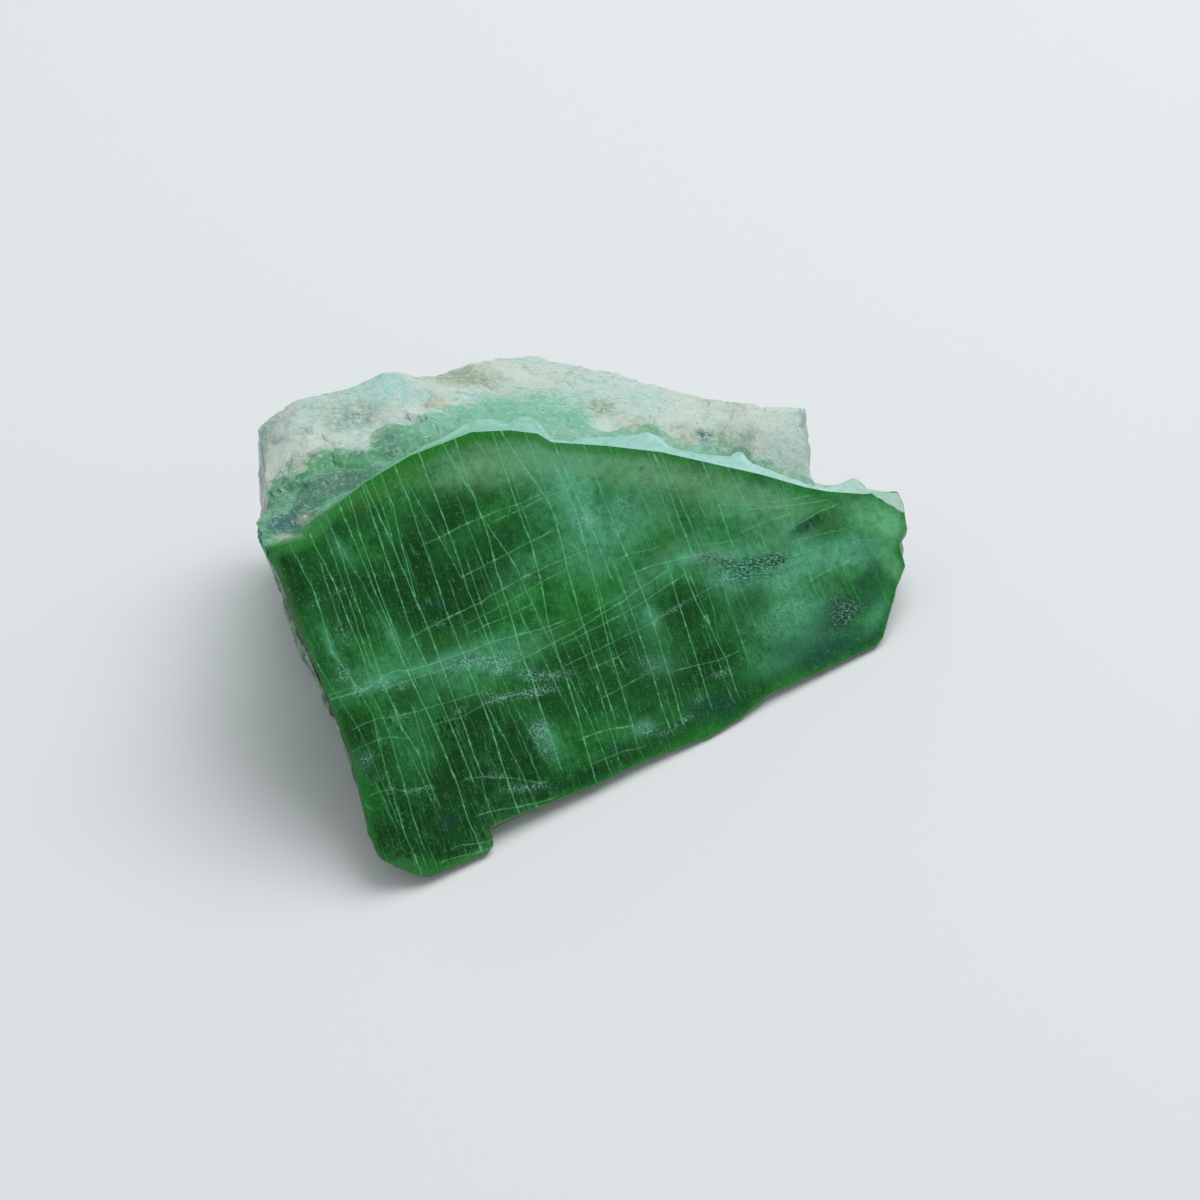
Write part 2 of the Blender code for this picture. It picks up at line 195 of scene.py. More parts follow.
def corner_stations():
    """Stations of the corners of the face's edge, ending with the whole way round."""
    corners = np.array(FACE_EDGE)
    runs = np.linalg.norm(np.roll(corners, -1, axis=0) - corners, axis=1)
    return np.concatenate([[0.0], np.cumsum(runs)])


def rib_stations():
    """Stations of the ribs: every corner of the edge, and even steps from corner to corner."""
    ribs = []
    for start, end in itertools.pairwise(corner_stations()):
        spacing = CREST_RIB if end <= CREST_END else WALL_RIB
        count = max(1, round((end - start) / spacing))
        ribs.extend(np.linspace(start, end, count, endpoint=False))
    return np.array(ribs)


def on_guide(guide, stations):
    """Points of a closed guide line at some stations, on straight runs between its own points."""
    table = np.array(guide)
    whole = corner_stations()[-1]
    return np.stack([np.interp(stations, table[:, 0], c, period=whole) for c in table[:, 1:].T], -1)


def on_edge(stations):
    """Points of the face's edge at some stations, as (along the saw cut, up the face)."""
    corners = corner_stations()
    closed = np.array(FACE_EDGE + FACE_EDGE[:1])
    return np.stack([np.interp(stations % corners[-1], corners, c) for c in closed.T], -1)


def in_space(flat):
    """Places in space of points given as (along the saw cut, up the face)."""
    along, up_face, _ = face_axes()
    return np.asarray(flat) @ np.stack([along, up_face]) + (0.0, 0.0, FACE_LIFT)


def smooth_leg(before, start, end, after, share):
    """Point at a share of the way from start to end on a Catmull-Rom curve."""
    square, cube = share**2, share**3
    return 0.5 * (
        2.0 * start
        + (end - before) * share
        + (2.0 * before - 5.0 * start + 4.0 * end - after) * square
        + (3.0 * start - before - 3.0 * end + after) * cube
    )


def bumps(points, size, seed):
    """Smooth heights from -1 to 1: random values on a cubic lattice, blended between its points."""
    values = np.random.default_rng(seed).uniform(-1.0, 1.0, (LATTICE,) * 3)
    cell = np.floor(points / size).astype(int)
    share = points / size - cell
    share = share * share * (3.0 - 2.0 * share)
    total = np.zeros(points.shape[:-1])
    for corner in itertools.product((0, 1), repeat=3):
        weight = np.prod(np.where(corner, share, 1.0 - share), -1)
        total += weight * values[tuple(np.moveaxis((cell + corner) % LATTICE, -1, 0))]
    return total


def facets(points, size, seed):
    """Angular heights: each point takes the tilted plane of the nearest of many seeded grains."""
    random = np.random.default_rng(seed)
    places = random.uniform(0.0, 1.0, (*(GRAIN_LATTICE,) * 3, 3))
    tilts = random.normal(0.0, 1.0, (*(GRAIN_LATTICE,) * 3, 3))
    cell = np.floor(points / size).astype(int)
    nearest = np.full(points.shape[:-1], np.inf)
    height = np.zeros(points.shape[:-1])
    for step in itertools.product((-1, 0, 1), repeat=3):
        grain = cell + step
        index = tuple(np.moveaxis(grain % GRAIN_LATTICE, -1, 0))
        offset = points / size - grain - places[index]
        distance = np.sum(offset**2, -1)
        closer = distance < nearest
        nearest = np.where(closer, distance, nearest)
        height = np.where(closer, np.sum(offset * tilts[index], -1), height)
    return height


def guide_lines(stations):
    """The guide lines that the stone is lofted over, from the edge of the face to the foot.

    The crest lies outside the edge by a chip's width and a nick. The toe is the foot of the step
    behind the chips. Along the front, the rind and the shoulder only divide the way from crest to
    foot, and the waist lies halfway down the wall, swollen away from the middle of the base."""
    along, up_face, out = face_axes()
    edge = in_space(on_edge(stations))
    run = on_edge(stations + EDGE_SPAN) - on_edge(stations - EDGE_SPAN)
    aside = np.stack([-run[:, 1], run[:, 0]], -1) / np.linalg.norm(run, axis=1, keepdims=True)
    slope = np.radians(CHIP_FALL)
    chip = aside @ np.stack([along, up_face]) * np.cos(slope) - out * np.sin(slope)
    nicks = bumps(stations[:, None] * (1.0, 0.0, 0.0), NICK_LENGTH, NICK_SEED)
    nicks = np.clip(nicks - NICK_START, 0.0, 1.0)
    crest = edge + chip * (on_guide(CHIP_WIDTH, stations) + NICK_DEPTH * nicks[:, None])

    foot = np.pad(on_guide(FOOT, stations), ((0, 0), (0, 1)))
    front = ((stations > FRONT_START) & (stations < FRONT_END))[:, None]
    fall = foot - crest
    rind = np.where(front, crest + fall * FRONT_RIND, on_guide(RIND, stations))
    shoulder = np.where(front, crest + fall * FRONT_SHOULDER, on_guide(SHOULDER, stations))
    toe = crest + (rind - crest) * LEDGE_REACH + on_guide(LEDGE_DROP, stations) * LEDGE_FALL

    away = foot - (*FOOT_HUB, 0.0)
    away /= np.linalg.norm(away, axis=1, keepdims=True)
    swell = WAIST_SWELL * np.clip(shoulder[:, 2:] / FULL_WALL, 0.0, 1.0)
    waist = (shoulder + foot) / 2.0 + away * swell
    return edge, crest, toe, rind, shoulder, waist, foot


def loft(stations):
    """Grid of points, rings by ribs: straight runs to the crest and the toe, curves below."""
    edge, crest, *legs = guide_lines(stations)
    chip = crest - edge
    sag = np.linalg.norm(chip, axis=1, keepdims=True) * face_axes()[2] * CHIP_SAG
    rings = [
        edge + chip * share - sag * share * (1.0 - share)
        for share in np.linspace(0.0, 1.0, CHIP_RINGS + 1)
    ]
    rings += [
        crest + (legs[0] - crest) * share for share in np.linspace(0.0, 1.0, LEDGE_RINGS + 1)[1:]
    ]
    padded = [legs[0], *legs, legs[-1]]
    runs = zip(LEG_RINGS, padded, padded[1:], padded[2:], padded[3:])
    for count, before, start, end, after in runs:
        for share in np.linspace(0.0, 1.0, count + 1)[1:]:
            rings.append(smooth_leg(before, start, end, after, share))
    rings[-1] = legs[-1]
    return np.array(rings)


def coarse_relief(points, stations):
    """Heights of the lumps that the whole stone has, in millimetres."""
    height = sum(tall * bumps(points, size, seed) for size, tall, seed in RELIEF)
    height *= on_guide(RELIEF_SHARE, stations)[:, 0]
    for centre, radius, tall in LUMPS:
        height += tall * np.exp(-(np.linalg.norm(points - centre, axis=-1) / radius) ** 2)
    return height * np.clip(points[..., 2] / FULL_WALL, 0.0, 1.0)


def fine_relief(points, stations, depth):
    """Heights of the broken grain: angular facets near the crest, knobbles beyond, and winding
    cracks, which follow the places where a smooth random height is zero."""
    near_crest = np.exp(-((depth / CREST_REACH) ** 2))
    size, tall, seed = FINE_GRAIN
    grain = facets(points, size, seed) * (tall + CREST_GRAIN * near_crest)
    size, tall, seed = COARSE_GRAIN
    grain += facets(points, size, seed) * tall
    knobbles = sum(bumps(points, size, seed) * tall for size, tall, seed in KNOBBLES)
    sideways = [bumps(points, CRACK_SWEEP, seed) for seed in CRACK_SEEDS]
    bent = points + np.stack(sideways, -1) * CRACK_BEND
    crack = sum(
        np.exp(-((bumps(bent, size, seed) / width) ** 2)) * deep
        for size, width, deep, seed in CRACKS
    )
    return (grain + knobbles - crack) * on_guide(GRAIN_SHARE, stations)[:, 0]


def stone_grid():
    """Rings by ribs of the finished broken surfaces, and the distance below the crest at each."""
    stations = rib_stations()
    grid = loft(stations)
    steps = np.linalg.norm(np.diff(grid, axis=0), axis=-1)
    depth = np.concatenate([np.zeros((1, len(stations))), np.cumsum(steps, axis=0)])
    toe = CHIP_RINGS + LEDGE_RINGS
    depth = np.maximum(depth - depth[toe], 0.0)
    broken = grid[toe:]
    outward = broken - HEART
    outward /= np.linalg.norm(outward, axis=-1, keepdims=True)
    rise = np.clip(depth[toe:] / FINE_START, 0.0, 1.0)
    rise *= np.clip(broken[..., 2] / FINE_START, 0.0, 1.0)
    height = coarse_relief(broken, stations) + fine_relief(broken, stations, depth[toe:]) * rise
    grid[toe:] = broken + outward * (height * (np.arange(len(broken)) > 0)[:, None])[..., None]
    grid[..., 2] = np.maximum(grid[..., 2], 0.0)
    grid[-1, :, 2] = 0.0
    return stations, grid, depth


def ring_faces(first, rows, columns):
    """Quads between consecutive rings of a grid whose vertices start at a number."""
    row, column = np.meshgrid(np.arange(rows - 1), np.arange(columns), indexing="ij")
    here = first + row * columns + column
    before = first + row * columns + (column - 1) % columns
    return np.stack([before, here, here + columns, before + columns], -1).reshape(-1, 4)


def stone_mesh():
    """One closed mesh: the loft, with the sawn face and the base closed by rings round a hub.

    Comes with its points in millimetres, their places on the face, their distance below the
    crest as a share of the reach of green stone, and their share of weathered skin."""
    stations, grid, depth = stone_grid()
    rings, ribs = grid.shape[:2]
    face_share = np.linspace(1.0, 0.0, FACE_RINGS + 1)[1:-1, None, None]
    base_share = np.linspace(1.0, 0.0, BASE_RINGS + 1)[1:-1, None, None]
    flat = FACE_HUB + (on_edge(stations) - FACE_HUB) * face_share
    foot_hub = np.array([*FOOT_HUB, 0.0])
    base = foot_hub + (grid[-1] - foot_hub) * base_share
    points = np.concatenate([
        grid.reshape(-1, 3), in_space(flat).reshape(-1, 3), base.reshape(-1, 3),
        [in_space(FACE_HUB), foot_hub],
    ])
    hub_face, hub_foot = len(points) - 2, len(points) - 1
    first_face, first_base = rings * ribs, (rings + len(flat)) * ribs
    column = np.arange(ribs)
    before = (column - 1) % ribs
    last = (rings - 1) * ribs
    face_end, base_end = first_base - ribs, hub_face - ribs

    quads = [
        ring_faces(0, rings, ribs),
        np.stack([column, before, first_face + before, first_face + column], -1),
        ring_faces(first_face, len(flat), ribs),
        np.stack([last + before, last + column, first_base + column, first_base + before], -1),
        ring_faces(first_base, len(base), ribs),
    ]
    tips = [
        np.stack([np.full(ribs, hub_face), face_end + before, face_end + column], -1),
        np.stack([np.full(ribs, hub_foot), base_end + column, base_end + before], -1),
    ]
    faces = [row for block in quads + tips for row in block.tolist()]
    mesh = bpy.data.meshes.new("jade_stone_surface")
    mesh.from_pydata(((points - ORIGIN) * MM).tolist(), [], faces)

    ring_of = np.arange(len(quads[0])) // ribs
    finish = np.where(ring_of < CHIP_RINGS, FRESH_CHIP, ROUGH_STONE)
    sizes = [len(block) for block in quads[1:] + tips]
    others = [SAWN_JADE, SAWN_JADE, ROUGH_STONE, ROUGH_STONE, SAWN_JADE, ROUGH_STONE]
    slots = np.concatenate([finish, np.repeat(others, sizes)])
    mesh.polygons.foreach_set("material_index", slots.astype(np.int32))
    mesh.polygons.foreach_set("use_smooth", np.ones(len(slots), bool))

    flat_all = np.full((len(points), 2), FAR_OFF)
    flat_all[:ribs] = on_edge(stations)
    flat_all[first_face:first_base] = flat.reshape(-1, 2)
    flat_all[hub_face] = FACE_HUB
    past_green = np.full(len(points), FAR_PAST)
    past_green[: rings * ribs] = (depth / on_guide(GREEN_REACH, stations)[:, 0]).ravel()
    skin = np.ones(len(points))
    skin[: rings * ribs] = np.tile(on_guide(SKIN, stations)[:, 0], rings)
    return mesh, points, flat_all, past_green, skin


# Veins of the sawn face, as their strength and their points (along the cut, up the face), in
# millimetres. The upright ones follow the grain, and the cross veins run over them.
UPRIGHT_VEINS = [
    (0.45, [(-18, 19.5), (-17.8, 16.5), (-17.25, 13.2), (-17.25, 11), (-17.4, 7.5), (-17.6, 5)]),
    (0.7, [(-15.7, 28), (-15.55, 24), (-15.9, 21.5), (-16.4, 19), (-16, 16.7), (-15.6, 13.2),
           (-16.2, 11), (-16.9, 7.3), (-17.5, 3.7), (-17.7, 0.2)]),
    (0.6, [(-14, 25.4), (-14.35, 24), (-14.5, 22.3), (-14.8, 20)]),
    (0.7, [(-14.9, 14), (-15, 11.7), (-15.3, 9.8), (-15.8, 7.2), (-16.3, 4.5), (-16.6, 2.5)]),
    (0.8, [(-13.8, 28.5), (-13.8, 26.8), (-13.67, 25.3), (-13.75, 23.5), (-14, 20.2),
           (-14.2, 17.5), (-14.6, 15.8)]),
    (0.4, [(-14.2, 9.5), (-14.2, 7), (-14.35, 4)]),
    (0.35, [(-17.85, 7.5), (-18, 4.5)]),
    (0.6, [(-12.6, 28.8), (-12.6, 27.3), (-12.9, 24.5), (-13.3, 21.3), (-13.8, 18),
           (-13.9, 16.3)]),
    (0.85, [(-13.7, 15.5), (-13.65, 13), (-13.85, 11.3), (-13.5, 9), (-13.7, 7), (-13.85, 5)]),
    (0.8, [(-11.8, 28.9), (-12, 26.3), (-12.5, 23.2), (-12.9, 20.2), (-13.3, 17.2),
           (-13.6, 15.3)]),
    (0.5, [(-12.3, 12), (-12.6, 10.5), (-12.85, 8.8), (-13.3, 7.2)]),
    (0.5, [(-11.95, 26.5), (-11.75, 24), (-11.5, 22.5), (-11.45, 19.5), (-11.2, 17.8)]),
    (0.75, [(-10.5, 29.2), (-10.55, 26), (-10.8, 22.7), (-11, 19.3), (-11.15, 17.5)]),
    (1, [(-11.15, 17.8), (-11.3, 15.5), (-11.3, 13), (-11.4, 9.3), (-11.67, 5.5), (-12.15, 2.2),
         (-12.25, -0.2)]),
    (0.8, [(-9.3, 29.4), (-9.8, 26.8), (-10.2, 23.7), (-10.6, 20.8), (-10.9, 17.8), (-10.9, 15.8),
           (-11.05, 14)]),
    (0.85, [(-7.9, 29.6), (-8.25, 27.2), (-8.8, 23), (-9.25, 19.7), (-9.5, 17.5), (-9.6, 14.8),
            (-9.9, 11.3), (-10.1, 7.7), (-10.3, 5)]),
    (0.9, [(-7.65, 30), (-7.7, 27), (-7.8, 23.8), (-8, 20.2), (-8, 18.3), (-8.4, 14.5),
           (-8.8, 10.5), (-9.25, 7), (-9.4, 5.3)]),
    (0.5, [(-9.6, 4.6), (-9.95, 3.4), (-10.1, 2), (-10.2, 0.9)]),
    (0.6, [(-6.9, 29.6), (-7.3, 26.2), (-7.75, 24.2)]),
    (0.8, [(-6, 29.8), (-6.3, 27), (-6.9, 24.7), (-7.5, 21.7), (-8, 19.7)]),
    (0.55, [(-6.4, 9.3), (-6.25, 6.8), (-6.2, 4), (-6.3, 0.7)]),
    (0.9, [(-4.65, 30.1), (-4.8, 27), (-5.25, 23.8), (-5.67, 20.3), (-6.05, 17.7), (-6.3, 14.5),
           (-6.55, 11.5), (-6.9, 7.7), (-7.5, 4.5), (-7.95, 1)]),
    (0.5, [(-4.3, 28.5), (-4.1, 26.2), (-3.75, 22.8), (-3.6, 20)]),
    (0.45, [(-4.7, 19.5), (-5, 17.3), (-5.3, 15)]),
    (0.5, [(-4.85, 8.5), (-4.9, 5.2), (-5.05, 2.5)]),
    (0.85, [(-2.2, 30), (-2.6, 26), (-3, 22), (-3.5, 18.7), (-3.8, 15), (-4.1, 12)]),
    (0.4, [(-4.2, 11.5), (-4.2, 8), (-4, 6), (-3.8, 3.5)]),
    (0.45, [(-2.5, 20.7), (-2.8, 18.3), (-3.15, 16.3), (-3.4, 14.5)]),
    (1, [(0, 30), (0.3, 26.8), (0.5, 25.2), (0.25, 22.2), (-0.5, 19), (-1, 15.7), (-1.67, 12.3),
         (-1.9, 9.5), (-2.5, 6), (-2.9, 2.8)]),
    (0.5, [(-0.9, 25), (-1.2, 21.7), (-1.5, 18.3), (-1.8, 15.5)]),
    (0.7, [(1.2, 30.1), (0.9, 28), (0.55, 25.4)]),
    (0.5, [(-0.1, 16.5), (-0.3, 14), (-0.1, 11), (-0.15, 8), (0, 5)]),
    (0.65, [(0.45, 22.7), (0.75, 21), (1.15, 18.5), (1.1, 16), (1.05, 13.5), (1.1, 11)]),
    (0.9, [(4.5, 29.4), (4, 25.5), (3.5, 22), (3.3, 19.7), (2.67, 16.7), (1.75, 13.8), (1.2, 11),
           (1.03, 9.3), (0.4, 5.5), (-0.3, 2), (-0.65, 0.5)]),
    (0.55, [(1.2, 9), (1.2, 7), (1.25, 4.5), (1.1, 2.5), (0.95, 0.8)]),
    (0.4, [(2.6, 30), (2.9, 28.3), (3.2, 26.8)]),
    (0.45, [(2, 11.5), (2, 9.8), (1.8, 8.2), (1.67, 7.3)]),
    (0.45, [(4.85, 27.3), (4.4, 25), (3.95, 22.5), (3.8, 21)]),
    (0.6, [(3.33, 11.2), (3.4, 9.3), (3.17, 7.7), (3, 6), (2.7, 4.3), (2.4, 2.7), (2, 1)]),
    (0.9, [(5.1, 29.3), (5.67, 25.7), (6.2, 22.7), (6.35, 21.3), (5.9, 19), (5.2, 16.3),
           (4.6, 13.3), (4.1, 10), (3.6, 6.3), (3.35, 4.3)]),
    (0.6, [(7.1, 28), (6.9, 25.5), (6.5, 22.7), (6.35, 21.5)]),
    (0.4, [(4.35, 3), (4.25, 2), (4.1, 0.8)]),
    (0.35, [(6.3, 20.3), (6.6, 18.7), (6.8, 17.3)]),
    (0.95, [(8.3, 24.3), (8.2, 20.7), (7.67, 17.8), (7, 14.8), (6.3, 12), (5.6, 9.2), (5, 6),
            (4.5, 2.8)]),
    (0.6, [(7.15, 14.8), (6.9, 13.2), (6.3, 10.5), (6.05, 9), (6, 7.2)]),
    (0.85, [(9.1, 26.2), (8.85, 23), (8.8, 19.7), (8.75, 17), (8.5, 14.5)]),
    (0.35, [(9.5, 25.5), (9.4, 23.5), (9.4, 22)]),
    (0.4, [(8.2, 11.8), (8, 10), (7.7, 8.2), (7.6, 7)]),
    (0.35, [(10.45, 24.8), (10.3, 22.5), (10.15, 21)]),
    (0.7, [(9.3, 15), (8.9, 11.7), (8.5, 8.5), (8.1, 5.7), (7.7, 3.7), (7.4, 1.3)]),
    (0.45, [(8.4, 3.9), (8.2, 2.5), (7.95, 1.2)]),
    (0.7, [(11.45, 24.8), (11.25, 22.7), (10.9, 19.5), (10.7, 16.5), (10.65, 14)]),
    (0.95, [(10.67, 14), (10.5, 12), (10.3, 10.3), (9.9, 7.7), (9.35, 4.7), (8.7, 1.3)]),
    (0.4, [(9.75, 4.8), (9.35, 2.7)]),
    (0.35, [(13.5, 23.9), (13.4, 22.3)]),
    (0.9, [(13.6, 13), (13.2, 10.7), (12.9, 8.8), (12.3, 5.2), (11.7, 1.5)]),
    (0.35, [(14.5, 20.8), (14.25, 18.5), (14.05, 16.5)]),
    (0.5, [(14.6, 8.5), (14.25, 6), (13.95, 3.7), (13.7, 1.5)]),
    (0.9, [(14.75, 12), (14.6, 9.2), (14.75, 6.5), (14.75, 4), (14.4, 1.5)]),
    (0.5, [(16.5, 21.9), (16, 19.5), (15.7, 17), (15.5, 15)]),
    (0.6, [(15.15, 11.7), (15, 9.7), (14.8, 7)]),
    (0.85, [(16.9, 21.5), (16.8, 19.3), (16.4, 15.7), (16.2, 13.2)]),
    (0.55, [(16.3, 11.8), (16, 9.7), (15.7, 8.2), (15, 6.1)]),
    (0.6, [(17.5, 21.2), (17.35, 18.5), (17.2, 15.7), (17, 13.3)]),
    (0.7, [(17.4, 9.4), (17.1, 7.7), (16.9, 5.7), (16.65, 3.5)]),
    (0.35, [(18.8, 16.7), (18.65, 14.7), (18.5, 12.5)]),
    (0.35, [(18.3, 9), (18.1, 7.5)]),
    (0.6, [(20.67, 19.7), (20.5, 17), (20.2, 14.7), (19.95, 12.5)]),
    (0.4, [(18.9, 8.6), (18.67, 6.8), (18.55, 5)]),
    (0.35, [(21.3, 13), (21.1, 11.5)]),
    (0.6, [(22.67, 18), (22.6, 16.3), (22.77, 14.3), (22.95, 12.8), (22.5, 10.3)]),
    (0.35, [(22.4, 12.7), (22.1, 10.8)]),
    (0.35, [(23.2, 17.6), (23.35, 15.8)]),
    (0.5, [(26.2, 14.5), (26, 12.5), (25.7, 9.5), (25.3, 7.5), (25.1, 5)]),
    (0.35, [(26.6, 14.7), (26.3, 12.5)]),
    (0.35, [(28.9, 9.6), (28.6, 7.5), (28.4, 5)]),
]
CROSS_VEINS = [
    (1, [(-18, 15.6), (-15.2, 15.1), (-13.5, 15.4), (-12.3, 15.4), (-11, 14.9), (-9.3, 14.6),
         (-6.5, 14.3), (-5, 14.05), (-3.7, 14), (-2, 13.7), (-0.5, 13.4), (1.3, 13.1),
         (2.7, 12.9)]),
    (0.8, [(-13.7, 14.5), (-11.7, 14.3), (-9.3, 13.9), (-8.3, 13.7)]),
    (0.5, [(-18, 16), (-16, 15.7), (-15.5, 15.5)]),
    (0.7, [(-9.3, 17.2), (-6, 17.3), (-3, 17.2), (-0.8, 17.4), (1.7, 17.5), (4.3, 17.4),
           (7.3, 17.2)]),
    (0.45, [(-5, 16.2), (-2.5, 16.2), (0, 16.3), (3, 16.5), (5, 16.5)]),
    (0.5, [(-5, 15.4), (-3.3, 15.4), (-1.7, 15.3), (0.7, 15.25)]),
    (0.6, [(-5, 23.3), (-1.2, 23.3), (0.7, 23.2), (2.3, 23.1), (3.7, 22.9), (5.7, 22.8)]),
    (0.5, [(1.3, 22.5), (3.3, 22.4), (5.3, 22.5), (8.3, 22.3), (10, 22.2)]),
    (0.6, [(-2.8, 19.7), (0.5, 19.7), (3.3, 19.75), (5.3, 19.8)]),
    (0.85, [(-2, 11.75), (0, 11.7), (1.7, 11.7), (4, 11.75), (5.7, 12), (7.7, 12.15),
            (9.2, 12.25), (10, 12.5), (13.5, 12.7)]),
    (0.45, [(0.7, 12.8), (3.3, 12.6), (5.3, 12.5), (8, 12.6), (9.2, 12.7)]),
    (0.6, [(2, 11.3), (5.3, 11.25), (9.7, 11.3), (11.3, 11.5), (13, 11.65), (14.7, 11.8)]),
    (0.95, [(10.7, 13.8), (12.7, 13.6), (14.3, 13.2), (15.3, 13.1), (16, 12.8)]),
    (0.55, [(9.5, 15.4), (11, 15.4), (12, 15.1), (13.7, 14.8)]),
    (0.45, [(1.7, 9.7), (6.7, 9.6), (10, 9.5), (13, 9.8), (16, 9.9), (17, 10)]),
    (0.5, [(3.2, 8.5), (5.8, 8.4), (6.7, 8.4)]),
    (0.5, [(3, 6), (5.3, 6), (8, 6.1)]),
    (0.55, [(9.7, 5.3), (11, 5.1), (12.5, 4.7), (14.3, 4.3), (16, 4.2)]),
    (0.8, [(0, 3.9), (1.3, 3.75), (2.7, 3.5), (4, 3)]),
    (0.5, [(0, 1.7), (3, 1.4), (4.3, 1)]),
    (0.6, [(-17.2, 12.8), (-15.5, 12.7), (-14, 12.2), (-12, 11.75), (-9.7, 11.4), (-7.7, 11.1),
           (-6.5, 10.8)]),
    (0.4, [(-18, 11.3), (-16, 11.2), (-14.7, 10.75), (-13.7, 10.25)]),
    (0.5, [(-11.7, 10.3), (-8.7, 9.8), (-6.7, 9.9), (-5.2, 9.75), (-3, 9.3)]),
    (0.5, [(-18.3, 7.6), (-16.8, 7.25), (-15.8, 6.5), (-14.3, 6.2)]),
    (0.6, [(-10.7, 5.3), (-9.3, 4.8), (-8.3, 4.2), (-7.2, 3.7), (-6.5, 3.25), (-5, 2.2)]),
    (0.7, [(-11, 2.3), (-9.3, 1.9), (-7.7, 1.4), (-6, 1), (-4.7, 0.75)]),
    (0.6, [(-15.5, 0.4), (-14.3, 0.2), (-13, -0.2), (-11.7, -0.4)]),
    (0.5, [(-14, 1), (-12.7, 0.5), (-11.4, 0.1)]),
    (0.9, [(22.7, 14.2), (24.3, 13.6), (26, 13.1), (27, 12.8), (28.3, 12.4), (29.8, 12)]),
    (0.6, [(21.7, 12.8), (24.3, 12.6), (26.3, 12.3)]),
    (0.7, [(25.5, 11.25), (27, 11.3), (28.7, 11.4), (30.2, 11.3)]),
    (0.8, [(23.8, 9.2), (25.7, 9), (27.3, 8.75)]),
    (0.6, [(25.3, 6.6), (27, 6.75), (28.7, 6.6), (30.2, 6.8)]),
    (0.5, [(30.7, 7.9), (32, 7.3), (33, 7)]),
    (0.55, [(23.7, 14.4), (26.3, 13.5), (28.7, 12.9)]),
    (0.5, [(20.5, 15.6), (22.8, 14.6), (25.4, 13.2), (27.6, 12)]),
    (0.45, [(25.2, 10.2), (27.4, 9.8), (29.8, 9.2)]),
    (0.45, [(24.4, 8), (26.4, 8.1), (28.6, 7.7)]),
    (0.4, [(16.5, 13.7), (18.6, 12.9), (20.6, 12.3)]),
]
VEIN_SETS = 7                         # neighbouring veins are kept in different sets
CROSS_SETS = 4
VEIN_FADE = 0.8                       # length over which a vein's end fades out

